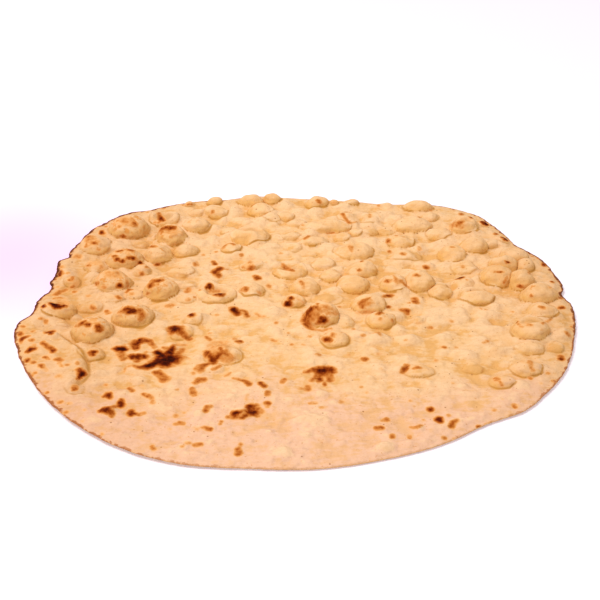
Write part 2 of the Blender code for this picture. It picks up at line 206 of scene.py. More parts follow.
# Scorch marks. x and y are where the line of sight from the camera through the mark meets the sheet.
# Burn is in percent: 20 is straw, 50 brown and 100 black. Round spots: (x, y, half width, burn).
SPOTS = [
    # the big blots, left of the middle
    (-121, -61, 1.2, 30), (-139, -51, 1.2, 20), (-104, -34, 2, 45), (-72, -35, 1, 30),
    (-81.5, -89.5, 1.2, 35), (-47.5, -46.5, 1.8, 78), (-51.5, -42.5, 1.1, 35), (-18, -19.5, 1.1, 35),
    (-68, -8, 1.1, 35), (-89, -8, 2, 80), (-128, -91, 1, 20),
    # the middle: a brown blister and what lies round it
    (13, -6, 4, 45), (22, 2, 4.5, 36), (29, 1, 1.6, 33), (32, -6, 2, 33), (26, -5, 1.8, 33),
    (24, 8, 1.4, 30), (16, 9.5, 0.7, 50), (35, 4.5, 0.7, 40), (-6, 18, 1.6, 92), (23.5, -44, 2.6, 95),
    (35, -34, 0.7, 30), (22, -35, 0.8, 25), (9.5, -39.5, 0.9, 35), (-8, -35, 1, 25), (-5, -51, 0.9, 40),
    (4, -51, 0.9, 35), (16.5, -64.5, 1.5, 40), (40, -65, 1.2, 25), (52.7, -70.4, 1.7, 80),
    (53, -37.5, 1.3, 40), (64, -63.5, 1.6, 28), (65, -83.5, 0.9, 25), (48, -107, 0.9, 35),
    (52, -114, 0.9, 25), (2, -109, 1, 35),
    # the middle, further back
    (-62.8, 65, 0.9, 30), (-75, 95.5, 1, 32), (-86, 90, 1.2, 30), (-80.5, 84, 0.8, 25), (-49, 69, 1, 40),
    (-16, 93, 1, 40), (20.5, 86, 0.9, 25), (-85.5, 31, 0.9, 40), (-88.5, 19.5, 0.6, 45), (-94, 16, 1.7, 36),
    (-29, 77.5, 0.9, 20), (13, 24, 0.8, 25), (15.5, 54.5, 0.8, 20),
    # the back
    (78, 184, 1.2, 40), (4.5, 145, 1.2, 28), (91, 125.5, 0.9, 40), (98, 123, 0.9, 28), (56, 97.5, 0.9, 20),
    (95, 92, 1.5, 62), (149, 97.5, 0.8, 28), (129.5, 91.5, 0.9, 20), (57, 79, 0.8, 50),
    (-103.5, 151, 0.9, 28), (-113, 185, 0.9, 40), (-146, 171, 1, 35), (-130.5, 178, 0.9, 35),
    (-172, 153, 1, 40), (-176, 148, 1, 45), (-182, 142.5, 1, 50), (-195.5, 124, 1, 60), (-195, 119, 1, 40),
    (-183, 114, 0.9, 40), (-156, 93, 2.6, 22),
    # the left
    (-179.8, 21.2, 1.3, 38), (-143, 25, 1.3, 45), (-168.5, 35.3, 1.4, 48), (-176.2, 50, 1, 25),
    (-167.5, 59.4, 1.1, 56), (-164, 59, 1.1, 50), (-159.5, 60, 1.2, 50), (-162.5, 52, 2, 34),
    (-168.5, 51.5, 1.5, 25), (-152.5, 52, 0.8, 25), (-195.7, 35.3, 1.3, 56), (-208.5, 36, 1.2, 30),
    (-203.5, 59, 1, 36), (-192.5, 28.5, 1.3, 44), (-209, 58.5, 2, 36), (-214, 48.5, 1.1, 70),
    (-214.5, 34, 1.5, 90), (-211, 69, 2.4, 28), (-198, 86, 1.6, 36), (-200, 87, 4, 26),
    (-166.2, 88, 1.5, 72), (-125.7, 72.5, 1.6, 72), (-143, 64.5, 0.7, 25), (-123, 39, 1.1, 50),
    (-114.5, 30.5, 1, 28), (-127.5, 4.5, 0.6, 25), (-173.5, -22.5, 1.7, 100), (-214, -13, 1.1, 50),
    (-226.6, -25, 1.2, 50), (-224, -31.5, 2, 22), (-217, -32, 1, 42), (-215.7, -44.6, 1.4, 52),
    (-213, -51.2, 1.5, 34), (-208.5, -75.3, 1.4, 50), (-201.6, -79.5, 1.6, 62), (-181, -78.5, 1.1, 45),
    (-204.5, -89, 1, 42), (-207.5, -93, 0.9, 80), (-190.7, -114, 0.9, 48), (-178.5, -125.5, 1.2, 48),
    (-171, -127.5, 1.1, 28), (-172, -138, 1.2, 40),
    # the front left
    (-147.6, -104.5, 1, 40), (-119, -105.8, 1, 25), (-92, -110, 1, 25), (-90.5, -142.3, 1.3, 40),
    (-84.8, -138.5, 1.1, 25), (-73.8, -157, 2, 22), (-82.7, -177, 0.8, 30), (-142, -163.7, 1.6, 22),
    (-158.6, -148.5, 1, 28), (-159, -134.7, 1.1, 25), (-93.3, -157.5, 1.1, 20),
    # the front
    (-23, -131, 1.1, 34), (-41, -174.7, 1.2, 36), (-23, -144.7, 0.8, 25), (32.4, -125.3, 1.4, 32),
    (84.8, -124, 1, 25), (90, -127.7, 0.8, 20), (98.4, -134.7, 1.7, 88), (111.3, -141.5, 0.9, 40),
    (92.4, -147.5, 0.9, 25), (105.3, -167.4, 1.1, 50), (112.5, -168, 0.9, 28), (132.4, -155, 1, 60),
    (146, -135, 1, 40), (153.1, -97, 1.5, 68), (109, -72.8, 1.1, 30), (179.4, -95.7, 1.1, 44),
    (176, -73.5, 0.9, 28), (193.9, -89.7, 1, 50), (186.6, -102.4, 0.9, 25), (197, -99.5, 1, 40),
    (119.5, -102, 1, 20), (154, -122, 0.8, 20),
    # the right, from the front to the back
    (108.4, -26.9, 1.3, 60), (45.6, -28, 0.9, 30), (87, -44.4, 1.1, 30), (116.9, -54.4, 1.4, 52),
    (127, -54.5, 1, 24), (140, -38, 0.9, 20), (180.3, -18, 1.1, 66), (191.3, -22.5, 1.2, 56),
    (186, -21, 3.5, 14), (200, -30, 0.9, 25), (217, -13, 0.9, 25), (225.6, -25, 0.9, 40),
    (126.9, -17.5, 1.2, 34), (125, -14, 2.4, 14), (180, -3, 1.1, 25), (158, 0.5, 0.7, 30), (59, 11, 4, 36),
    (76.3, 4.4, 1.2, 56), (73, -11, 1, 24), (94.4, 10.6, 0.9, 30), (54.4, 63.5, 1.4, 60),
    (78.1, 45.6, 1.7, 72), (101, 54.5, 0.7, 50), (148, 47.5, 0.7, 30), (136.3, 20, 0.7, 32),
    (193.1, 37.1, 1.7, 66), (204, 37, 0.8, 45), (201, 32.5, 0.8, 30), (224.5, 18.5, 1.2, 78),
    (218, 35, 1, 34), (192, -58, 1.2, 20), (212, 88.3, 0.9, 45), (216.7, 84.5, 0.9, 46),
    (155.3, 150.5, 0.9, 60), (148.5, 144.5, 1, 60), (154.5, 140, 1, 38), (144.5, 141.5, 0.8, 42),
    (151, 146.5, 6, 30), (156.5, 167, 1.5, 68), (150, 173, 0.9, 25), (184.4, 128.8, 1.2, 66),
]

# Streaks and blots, each a line of such points.
STREAKS = [
    # the big blots, left of the middle
    [(-107, -70, 6.5, 120), (-101, -70, 6.5, 120)], [(-107, -67, 3, 110), (-112.5, -61, 1.6, 95)],
    [(-102, -63, 3, 100), (-101, -58, 2, 85), (-100, -52, 1.2, 60)],
    [(-101, -57, 1.3, 60), (-108, -55, 1, 50)], [(-97, -68, 2.5, 70), (-92, -58, 1.7, 40)],
    [(-110, -72, 3.5, 110), (-118, -81, 2.5, 105), (-125, -82, 1.2, 60), (-130, -78, 0.9, 50)],
    [(-131, -79, 0.6, 30), (-135, -82, 0.6, 30), (-135.5, -88, 0.6, 25)],
    [(-106, -77, 3.2, 100), (-103, -78, 3, 95)], [(-98, -50.5, 0.9, 30), (-90, -52, 0.8, 30)],
    [(-144.5, -57, 2.2, 100), (-139.5, -57, 2.4, 105)], [(-141, -62, 2.3, 50), (-138, -70, 2.4, 45)],
    [(-130, -55, 2.2, 85), (-131, -49, 2.6, 95), (-126, -44.5, 2.4, 95), (-121, -46, 2.2, 85),
     (-118, -50, 1.4, 55), (-115, -55, 1.1, 50)],
    [(-131, -67.5, 2.4, 90), (-123, -67.5, 2.6, 95)], [(-127, -69, 2.3, 90), (-127, -72, 1.8, 80)],
    [(-103, -28, 3.6, 95), (-99, -28.5, 3.4, 95)],
    [(-98, -31, 2.3, 75), (-93, -37, 2, 65), (-88, -43, 1.6, 60)],
    [(-109, -88, 2.4, 60), (-103, -97, 2.8, 62)], [(-76.5, -97.5, 1.8, 70), (-73.5, -97.5, 1.8, 70)],
    [(-77, -99, 1.5, 55), (-79, -101.5, 1.4, 50)], [(-75, -40, 0.8, 50), (-71.5, -44, 1, 55)],
    [(-90, -67, 0.6, 30), (-85, -72, 0.6, 25)], [(-67, -52, 6, 26), (-61, -52, 6, 28)],
    [(-66, -63, 5, 34), (-56, -70, 5, 36)], [(-73, -62, 1.8, 70), (-69, -68, 3, 85), (-67, -74, 2.4, 80)],
    [(-61, -62, 2, 70), (-65, -68, 3, 85), (-68, -73, 2.6, 80)], [(-62, -55, 0.9, 65), (-62, -58, 0.9, 65)],
    [(-59, -59, 1.8, 50), (-52, -71, 1.8, 45)], [(-70, -76, 1.4, 60), (-76, -81, 2, 60), (-77, -84, 3, 68)],
    [(-62, -80, 1, 50), (-66, -84, 1, 45)], [(-54.5, 1, 2.2, 85), (-51.5, -6, 2.4, 90)],
    [(-49, -1, 1.2, 55), (-45, -3, 1.4, 60), (-42.5, -10, 1.3, 60)],
    [(-35, -6, 1, 30), (-32, -10, 1, 30), (-28, -10, 0.9, 30)], [(-109, 6, 2.6, 36), (-106, 8, 1.6, 32)],
    [(-53, -89, 0.8, 30), (-56, -93, 0.8, 30)],
    # the middle: a brown blister and what lies round it
    [(11, 2, 2.2, 80), (8, -4, 2.2, 72), (6, -14, 2.6, 60), (8, -22, 2.2, 60), (11, -28, 1.6, 50)],
    [(11, 3, 1.6, 70), (16, 4, 1.4, 62), (18, -2, 1.2, 50)], [(10, -14, 5, 50), (11, -4, 4, 45)],
    [(19.5, -13, 3.2, 88), (21, -16.5, 3, 88), (15, -21, 1.3, 55)],
    [(12, -29, 0.8, 35), (20, -31, 0.8, 30), (27, -28, 0.8, 30)], [(-8, 11, 2, 85), (-8, 7.5, 2.2, 90)],
    [(0, 17, 0.7, 25), (5, 10, 0.7, 25)], [(29, -36, 1.3, 45), (29, -38.5, 1.3, 45)],
    [(-21, -44, 0.9, 30), (-18, -46, 0.9, 30)],
    [(60.5, -34, 0.7, 30), (63, -32, 0.9, 38), (66.5, -34, 0.7, 34), (67, -38, 0.6, 22)],
    [(17.5, -88, 3.4, 115), (24.5, -86, 3.4, 100)], [(12, -85.5, 1.8, 80), (24, -84.5, 1.8, 85)],
    [(6, -88, 1.3, 50), (12, -84.5, 1.6, 65), (20, -82, 1.4, 60)],
    [(14, -92, 1.2, 60), (10.5, -99, 1.2, 65)], [(16.5, -91, 1.4, 70), (16.5, -98.5, 1.8, 78)],
    [(24, -91, 2.2, 65), (25, -99, 1.8, 50)], [(20.5, -102, 0.9, 50), (20.5, -104.5, 0.9, 45)],
    [(7.5, -106.5, 1.6, 42), (7.5, -110.5, 1.6, 45)], [(-10, -97, 0.9, 50), (-12, -101, 1, 45)],
    [(-50, -96, 0.8, 35), (-45, -98, 0.9, 45), (-41, -100, 1.3, 60), (-37.5, -103.5, 1.6, 65)],
    [(-28.5, -102.3, 1.2, 65), (-25.7, -105.6, 1.4, 65)], [(-23, -113.5, 1.3, 50), (-23, -116.5, 1.3, 48)],
    # the middle, further back
    [(-77.5, 40, 1.4, 90), (-77, 35.5, 2, 105)], [(-70, 24.5, 1.6, 85), (-66.5, 24, 2.2, 100)],
    [(-75, 29, 2.2, 40), (-70, 28, 2.4, 36)],
    [(-69.5, 66, 1.9, 90), (-74, 61, 2.3, 78), (-71, 55, 2.1, 78), (-69.5, 52.5, 1.4, 55)],
    [(-76, 78, 1, 60), (-74.5, 74, 1.3, 70)], [(-92, 77, 1.3, 36), (-91, 72, 1.4, 40)],
    [(-51.5, 91, 1.1, 50), (-51, 88.5, 1, 40)], [(-41.5, 70, 2, 50), (-42, 66, 2.2, 56)],
    [(-44, 80, 1.2, 30), (-42.5, 76, 1.4, 32)], [(-37.5, 53, 1.6, 65), (-35.5, 49.5, 2, 75)],
    [(-45.5, 34.5, 1.4, 65), (-46.5, 31, 2, 72)], [(-26, 39, 1.1, 45), (-25, 35.5, 1.1, 40)],
    [(-35, 29, 0.8, 28), (-32.5, 24, 0.8, 28)],
    [(-14, 74, 0.9, 35), (-12.5, 69.5, 1.4, 50), (-9, 66, 1.6, 66), (-5, 63, 1.1, 60)],
    [(2, 45, 0.9, 60), (3.2, 41.5, 1.2, 70)], [(4.5, 39, 0.8, 30), (4.5, 34, 0.8, 28)],
    [(9, 124, 1.2, 52), (6, 120, 1.3, 50)], [(-69, 102, 0.9, 35), (-68, 107, 1, 42), (-65, 111, 0.8, 30)],
    [(-63, 111.5, 0.8, 40), (-59.5, 109, 1, 50)], [(-94.5, 33, 1, 45), (-95.5, 29, 2, 42)],
    # the back
    [(19, 195, 1.1, 60), (20.5, 190, 1.3, 75)], [(35.2, 191, 1.1, 34), (35.2, 188, 1.1, 30)],
    [(42, 168, 1.2, 52), (43, 163, 1.2, 50), (46, 155, 0.7, 36), (48.5, 149, 1.1, 58), (52, 150, 0.6, 40),
     (55.5, 151.5, 0.5, 30)],
    [(68.5, 165.5, 0.8, 35), (68, 161, 0.9, 35)], [(118, 165, 0.7, 40), (116, 161, 0.8, 45)],
    [(128, 177, 0.9, 28), (128, 173, 0.9, 30)], [(28, 129.5, 0.7, 45), (33, 130.5, 0.7, 45)],
    [(83.8, 117.5, 1.1, 50), (82.8, 112.5, 1.2, 55)],
    [(47.5, 105, 1.7, 45), (48.5, 100, 1.3, 45), (48.5, 96, 0.8, 30)],
    [(82.6, 96.5, 1, 50), (82.8, 94.5, 1, 50)], [(110.5, 105, 0.7, 30), (110.5, 100, 1.2, 42)],
    [(140, 104, 0.8, 38), (142.5, 104, 0.8, 36)], [(-82.5, 173.5, 0.8, 45), (-82.8, 168, 0.8, 36)],
    [(-107.5, 186, 1.2, 60), (-105, 186.5, 1.2, 55)],
    [(-135, 169, 1.1, 50), (-133, 163, 1.3, 65), (-131, 157, 2, 90), (-129.5, 155, 1.7, 85)],
    [(-136, 150, 1.2, 45), (-133, 150, 1.3, 50)],
    [(-127, 139, 1.3, 60), (-123, 139.5, 2.6, 92), (-117, 139, 2, 88)],
    [(-127.5, 138, 1.3, 65), (-128, 134, 1.3, 60), (-128.5, 129, 1.1, 42)],
    [(-121, 131, 4, 24), (-115, 128, 4, 22)], [(-135, 105.5, 1.1, 75), (-131.5, 105.5, 1.4, 50)],
    [(-155.5, 149, 1.4, 78), (-155, 145.5, 1.7, 88)], [(-169, 143, 1, 45), (-169, 141, 1.1, 50)],
    [(-165, 155, 5, 32), (-160, 148, 5, 34)], [(-159, 158, 1, 40), (-157, 155, 0.8, 36)],
    [(-163, 154, 0.8, 38), (-163, 149, 0.9, 38)], [(-184.5, 134, 1, 70), (-183, 129.5, 1.4, 88)],
    [(-163.5, 125, 1.4, 70), (-162.5, 122.5, 1.4, 80)], [(-194, 120, 4.5, 36), (-189, 112, 4.5, 34)],
    [(-194.5, 108, 0.9, 40), (-194.5, 104, 0.9, 40)], [(-188.5, 113.5, 1.1, 70), (-188, 110, 1.3, 82)],
    [(-182.5, 101.5, 0.8, 40), (-182.5, 98.5, 0.8, 38)], [(-165, 96, 0.8, 50), (-161, 98, 1, 66)],
    [(-155.5, 100, 0.9, 62), (-151, 97.5, 1.1, 76)],
    # the left
    [(-205.3, 28.5, 1.7, 70), (-201.2, 30.5, 1.4, 50)], [(-208.5, 23.9, 1.6, 60), (-205.3, 28.5, 1.7, 70)],
    [(-216.6, 9.4, 0.9, 80), (-214.8, 4.8, 1.1, 88)], [(-208.5, 10.5, 2.2, 95), (-203.5, 5.5, 2.9, 105)],
    [(-203.5, 5, 2, 90), (-198, 5.7, 2, 95)], [(-203, 12, 4, 30), (-198, 9, 3.5, 30)],
    [(-208.5, 17.5, 0.7, 40), (-203.5, 19, 0.7, 36), (-198.5, 17, 0.6, 28)],
    [(-174.5, 5, 1.2, 50), (-173, 2, 1.8, 56)], [(-161, -2.5, 1.2, 60), (-159.5, -4.5, 1.6, 50)],
    [(-155.3, 20.9, 0.8, 65), (-152.1, 18, 0.9, 72)],
    [(-148, 27, 0.6, 50), (-146.5, 31, 0.6, 48), (-143.5, 32.5, 0.7, 52)],
    [(-155.3, 40.5, 1.4, 78), (-154.5, 37, 1.8, 88)], [(-175, 43.5, 0.7, 55), (-175, 39, 0.7, 55)],
    [(-167, 57, 4, 30), (-160, 56, 4, 32)], [(-149.8, 47, 0.7, 28), (-148, 36, 0.8, 28)],
    [(-198.5, 52, 1, 50), (-199, 47.5, 1.6, 62)], [(-194.5, 43, 3.2, 20), (-194.5, 37, 3.2, 24)],
    [(-212, 60.5, 2, 105), (-211.5, 56, 2, 110)], [(-191, 73, 1, 50), (-187, 72, 1.6, 44)],
    [(-175.5, 71, 1.5, 36), (-175, 67, 1.6, 36)], [(-185, 77, 4, 24), (-180, 76, 4, 22)],
    [(-163.3, 84, 1.6, 85), (-163.3, 81.5, 1.7, 90)], [(-158, 80, 1.5, 85), (-158, 78.5, 1.5, 85)],
    [(-152, 84.5, 2.4, 100), (-149.5, 83.5, 2.4, 105)], [(-142, 78, 1.2, 70), (-140.5, 75.5, 1.4, 86)],
    [(-136, 68.8, 0.7, 60), (-134.5, 68.2, 0.8, 60)], [(-139, 60, 1.2, 50), (-137.5, 56, 1.1, 46)],
    [(-126.6, 45.3, 2, 68), (-123.5, 46, 2.2, 74), (-119.8, 47, 1.7, 66)],
    [(-127, 44, 1.2, 70), (-128.3, 40, 1.4, 86), (-128.5, 35.5, 1, 72)],
    [(-117, 40, 0.7, 32), (-114, 38, 0.7, 30)], [(-129, 26.5, 0.9, 40), (-129, 24, 0.9, 38)],
    [(-149.5, -4, 0.9, 55), (-146, -1, 1.4, 75), (-143.5, 1.5, 2.2, 92), (-139.5, 0.5, 2.4, 95)],
    [(-142, -3, 2.6, 105), (-138, -3, 2.8, 110)],
    [(-138, 0, 2, 90), (-134, -1, 2, 85), (-131.5, -6, 1.9, 80), (-130.5, -12, 1.7, 70), (-131, -16, 1, 50)],
    [(-177.5, -17.5, 1, 80), (-179.8, -20.7, 1.8, 85), (-182.1, -24.4, 0.9, 50)],
    [(-173, -18, 3, 20), (-169, -19, 3, 20)],
    [(-166, -22, 1.4, 75), (-164, -26, 2.2, 86), (-163, -30, 2, 80)],
    [(-177.5, -40.5, 0.7, 22), (-176.5, -43, 0.7, 22)], [(-209.5, -16, 1.2, 46), (-208.5, -20.5, 1, 30)],
    [(-227.5, -34.5, 1.4, 75), (-226.5, -36.5, 1.4, 75)],
    [(-204, -31.2, 2.4, 100), (-202.5, -31.5, 2.2, 98)], [(-202.5, -33, 1.5, 85), (-201.6, -35, 1.1, 75)],
    [(-219.4, -38.5, 0.8, 55), (-223, -41.2, 1.1, 82), (-223.9, -44.4, 0.9, 70), (-223.5, -48.9, 0.6, 42)],
    [(-213.5, -57.3, 1.9, 100), (-212, -56.8, 1.4, 90)], [(-214, -58, 1.2, 90), (-215.9, -61.2, 0.8, 80)],
    [(-206.2, -47.1, 0.8, 60), (-202.5, -52.5, 1.7, 60), (-198, -56.2, 1.7, 62), (-195.7, -59.2, 2, 72)],
    [(-200.5, -68.3, 0.9, 72), (-197.5, -70.7, 0.8, 42)], [(-214, -71, 1.2, 75), (-213.8, -73.5, 1.2, 70)],
    [(-199, -82, 1.3, 28), (-196.5, -85.5, 1.3, 26)], [(-190.3, -70.3, 1.5, 62), (-186.6, -72.1, 1, 45)],
    [(-188, -75.7, 0.8, 34), (-185.3, -79.8, 0.9, 34)], [(-174, -75, 1.1, 32), (-173, -77, 1.1, 30)],
    [(-185.5, -93, 2, 25), (-184, -95, 1.8, 22)],
    [(-170.7, -85, 1.7, 70), (-168.5, -89, 2.4, 95), (-167.3, -91, 2.2, 105), (-169.4, -96.3, 1, 85)],
    [(-171, -106.5, 1.2, 70), (-170.2, -109.5, 1.4, 76)], [(-165.5, -61.3, 1.5, 85), (-162, -61.3, 1.5, 90)],
    [(-163.8, -62, 1.8, 92), (-163, -65.5, 1.2, 85)],
    # the front left
    [(-129, -108.3, 1, 55), (-126, -111.8, 1, 50)],
    [(-81, -109.4, 1.3, 50), (-79.7, -113.7, 1.5, 58), (-78.6, -117, 1.2, 45)],
    [(-146, -118.5, 1.3, 50), (-143.5, -115.7, 1.8, 75), (-142, -120, 1.4, 68)],
    [(-133, -123.5, 1.1, 80), (-132.7, -128.7, 2.3, 100)], [(-134, -130, 1, 75), (-138, -131, 1, 65)],
    [(-142.5, -134, 2.4, 100), (-147.5, -136.8, 0.9, 55)],
    [(-141.5, -135, 2, 95), (-138, -139, 1.6, 62), (-137.5, -142, 1.3, 42)],
    [(-124, -137.5, 1.7, 90), (-124, -140, 1.9, 98)],
    [(-122, -139, 1.1, 70), (-118, -140.7, 0.8, 50), (-114.5, -139, 1, 46)],
    [(-117.1, -116, 0.8, 50), (-112.4, -118.5, 1.2, 58), (-109.5, -122.8, 0.8, 35), (-109, -126.6, 1.1, 40)],
    [(-68.6, -136, 1.4, 60), (-67.6, -131.3, 1.1, 45), (-65.2, -130.9, 1, 40)],
    [(-89.5, -151.8, 1, 45), (-87, -150.4, 1.2, 60), (-84.3, -151.1, 1, 50)],
    [(-68.6, -155.6, 1, 50), (-64.3, -157.5, 1.3, 70)], [(-56.3, -148.5, 0.6, 42), (-57, -151.5, 0.6, 40)],
    [(-73, -175.5, 1.3, 45), (-70, -175, 1.4, 50)], [(-80, -173, 0.8, 35), (-78, -173.2, 0.8, 35)],
    [(-104, -177, 0.9, 40), (-102, -180, 0.9, 36)],
    # the front
    [(-35.5, -131.5, 2.1, 100), (-34, -138, 3, 108)], [(-31, -134, 2, 75), (-28, -137, 1.6, 58)],
    [(-34, -131, 1.2, 70), (-31, -129.3, 1, 50)], [(-37, -136, 1.8, 80), (-40, -136, 1.3, 58)],
    [(-32, -140, 1.6, 60), (-30, -142, 1.3, 45)], [(-46.5, -139.2, 1.9, 98), (-44.5, -138.2, 1.7, 92)],
    [(-38, -141, 1.2, 72), (-41, -143.7, 1.5, 80), (-46, -144.7, 0.9, 45), (-51.5, -143.5, 1, 45)],
    [(-23.2, -127, 1.5, 78), (-22.5, -127, 1.4, 75)], [(-38, -116, 0.8, 20), (-39.5, -122, 1.2, 28)],
    [(-42.5, -180, 1.3, 60), (-42.3, -184.5, 1.6, 78)], [(9, -127, 0.9, 38), (13, -127, 0.9, 36)],
    [(17, -132.5, 0.6, 28), (21, -131.5, 0.6, 28)], [(104, -145.8, 1.8, 92), (104, -147.5, 1.8, 98)],
    [(117, -147.5, 0.9, 50), (113.5, -150, 1.1, 60), (112, -154, 1.5, 72)],
    [(62, -148, 0.8, 36), (65.5, -146.5, 1.2, 55)], [(57.8, -156.5, 1.3, 62), (60.8, -156, 1.4, 62)],
    [(68.3, -164.8, 1, 50), (68.3, -166.4, 1, 48)], [(80.6, -165, 0.8, 34), (80.6, -167.5, 0.8, 34)],
    [(82, -155.5, 0.8, 30), (86.5, -155.5, 0.9, 40), (90, -152.5, 0.9, 40)],
    [(138.5, -152.5, 0.9, 65), (143, -150.5, 0.9, 60)], [(161.8, -129.3, 0.8, 55), (162, -132, 0.8, 52)],
    [(155.9, -101.5, 0.7, 40), (156, -105, 0.7, 38)],
    [(85, -79, 1.3, 60), (84, -82, 1.6, 78), (81.5, -87.5, 1.4, 55)],
    [(90.5, -83.5, 0.7, 36), (93.5, -81.5, 1, 56), (95.5, -82.5, 0.8, 40)],
    [(182.5, -74, 1.2, 48), (182.5, -80, 0.8, 40), (183, -86, 0.9, 45)],
    [(208.1, -67.8, 1.5, 85), (208.1, -70.5, 1.5, 85)],
    # the right, from the front to the back
    [(150, -48.5, 0.9, 30), (153, -46, 1, 36)], [(181, -20, 0.7, 40), (184, -26, 0.8, 36)],
    [(187.5, -16, 0.8, 28), (187.5, -20, 0.8, 28)], [(219, -33, 0.8, 50), (220.5, -38, 0.8, 42)],
    [(202, -20, 0.6, 50), (206, -18, 0.6, 45), (210, -14, 0.6, 35)],
    [(99, -20, 2.2, 18), (103, -19.5, 2, 16)], [(153.8, 3.5, 0.6, 36), (153.8, 1, 0.6, 32)],
    [(61, 18, 1, 42), (57, 14, 1.3, 50)], [(55, 14, 1.2, 50), (52.5, 10, 1.6, 56), (54, 4, 1.4, 50)],
    [(48, -4, 2.4, 20), (57, -3.5, 3, 26), (63, -1, 2, 20)],
    [(73.5, 20, 1.2, 50), (77.5, 22, 1.8, 70), (80, 22.5, 1.2, 55)],
    [(87, -0.5, 1.3, 75), (90.5, -1.5, 2, 90), (91, -6.5, 1, 60)],
    [(66.5, -6.5, 1, 65), (69.5, -4, 1.1, 75)], [(68, -12.8, 0.9, 44), (68, -15, 0.9, 42)],
    [(78, -14.5, 0.6, 34), (78, -18, 0.6, 32)], [(99, 17.5, 1.8, 60), (100.5, 11, 1.3, 55)],
    [(84, 55, 0.8, 34), (86, 47, 1, 40), (86.5, 40, 0.8, 34)], [(89.8, 47, 0.6, 50), (90, 44.5, 0.6, 48)],
    [(91, 43, 0.5, 45), (93.5, 38, 0.5, 40), (96, 34.5, 0.5, 30)],
    [(113.5, 70.5, 1.4, 55), (114, 67.5, 1.5, 60)], [(103.5, 56, 1.5, 60), (105.5, 54.5, 1.3, 52)],
    [(137.5, 50, 1, 72), (141, 51.5, 1.6, 98), (144, 52.5, 1, 82)],
    [(146.3, 71, 1, 44), (146.3, 68.5, 1, 40)], [(146, 29, 0.6, 25), (152, 30, 0.7, 30)],
    [(173, 61.5, 0.5, 60), (180, 60.5, 0.8, 86)], [(200, 23, 0.8, 50), (200, 21, 0.8, 50)],
    [(179, 41, 0.5, 42), (181, 46, 0.5, 42), (184, 53, 0.5, 32)], [(204.5, 5, 0.8, 42), (207, 3, 1.1, 62)],
    [(220, 2.5, 0.9, 85), (222.3, 3.5, 1.4, 105)], [(221.9, 46, 1, 55), (221.9, 44, 1, 52)],
    [(219.5, 74, 1.4, 95), (219.8, 72, 1.4, 92)], [(204.4, 60.5, 0.6, 42), (204.4, 58, 0.6, 38)],
    [(186, 78.6, 0.6, 80), (188.2, 76.6, 0.8, 98)],
    [(155.5, 152.5, 1.7, 44), (152, 148.5, 2.5, 50), (147, 144, 2.1, 46)],
    [(165.6, 163, 1.3, 85), (165.8, 160.5, 1.4, 92)], [(174.5, 151.5, 1.2, 88), (178, 147, 1.6, 102)],
    [(191.5, 122, 1.4, 88), (192.8, 118, 1.9, 104)],
]

# How brown the rim is, by direction from the middle in degrees.
RIM_BURN = [
    (0, 0.6), (30, 0.55), (60, 0.25), (90, 0.15), (115, 0.4), (140, 0.7), (160, 0.82), (180, 0.8),
    (200, 0.5), (220, 0.4), (245, 0.28), (270, 0.16), (300, 0.18), (325, 0.28), (345, 0.42),
]

# Camera: where it stands and what it looks at, in metres.
LOOK_AT = Vector((0.0015, 0.020, 0.0))
CAMERA_DISTANCE = 1.0
CAMERA_ELEVATION = math.radians(33.0)
LENS = 70.0
SENSOR = 36.0
CAMERA_PLACE = LOOK_AT + CAMERA_DISTANCE * Vector(
    (0.0, -math.cos(CAMERA_ELEVATION), math.sin(CAMERA_ELEVATION))
)


# Studio, in metres: a white floor with painted lilac shade beside the bread on the left, and one soft key
# light.
FLOOR_SIZE = 8.0
FLOOR_DROP = 0.0002
FLOOR_GLOW = (0.95, 0.88, 1.0, 1.0)
FLOOR_GLOW_STRENGTH = 0.22
# where the painted lilac shade on the floor sits, and how far it reaches
LILAC_SHADE_PLACE = (-0.27, 0.09, 0.0)
LILAC_SHADE_REACH = 0.20
SKY = (1.0, 0.985, 0.95, 1.0)
SKY_STRENGTH = 0.675
KEY_PLACE = Vector((-0.8, -0.12, 1.95))
KEY_SIZE = 1.0
KEY_WATTS = 33.2
KEY_COLOUR = (1.0, 0.985, 0.97)


# ---- Form ------------------------------
def around(table, angle):
    """Reads a closed table of (angle, value) at each angle, smoothly, by a cubic through its rows."""
    turn = 2.0 * math.pi
    rows = sorted((a % turn, v) for a, v in table)
    rows = [(a - turn, v) for a, v in rows[-2:]] + rows + [(a + turn, v) for a, v in rows[:2]]
    at = np.array([a for a, _ in rows])
    value = np.array([v for _, v in rows])
    slope = np.gradient(value, at)
    angle = angle % turn
    row = np.clip(np.searchsorted(at, angle) - 1, 0, len(at) - 2)
    step = at[row + 1] - at[row]
    t = (angle - at[row]) / step
    rise = value[row + 1] - value[row]
    bend_in = slope[row] * step - rise
    bend_out = rise - slope[row + 1] * step
    return value[row] + t * rise + t * (1.0 - t) * ((1.0 - t) * bend_in + t * bend_out)


def edge_radius(angle):
    return around([(math.atan2(y, x), math.hypot(x, y)) for x, y in EDGE], angle)


def oval_radius(angle):
    return 1.0 / np.hypot(np.cos(angle) / HALF_WIDTH, np.sin(angle) / HALF_DEPTH)


def smooth_step(low, high, value):
    t = np.clip((value - low) / (high - low), 0.0, 1.0)
    return t * t * (3.0 - 2.0 * t)


def square_to_disc(a, b):
    """Lays a square of side 2 out as the unit disc, its rings as circles, cells kept equal in area."""
    wide = np.abs(a) > np.abs(b)
    share = np.where(wide, a, b)
    safe = np.where(share == 0.0, 1.0, share)
    ratio = np.where(wide, b, a) / safe * (math.pi / 4.0)
    angle = np.where(wide, ratio, math.pi / 2.0 - ratio)
    x = share * np.cos(angle)
    y = share * np.sin(angle)
    return np.hypot(x, y), np.arctan2(y, x)


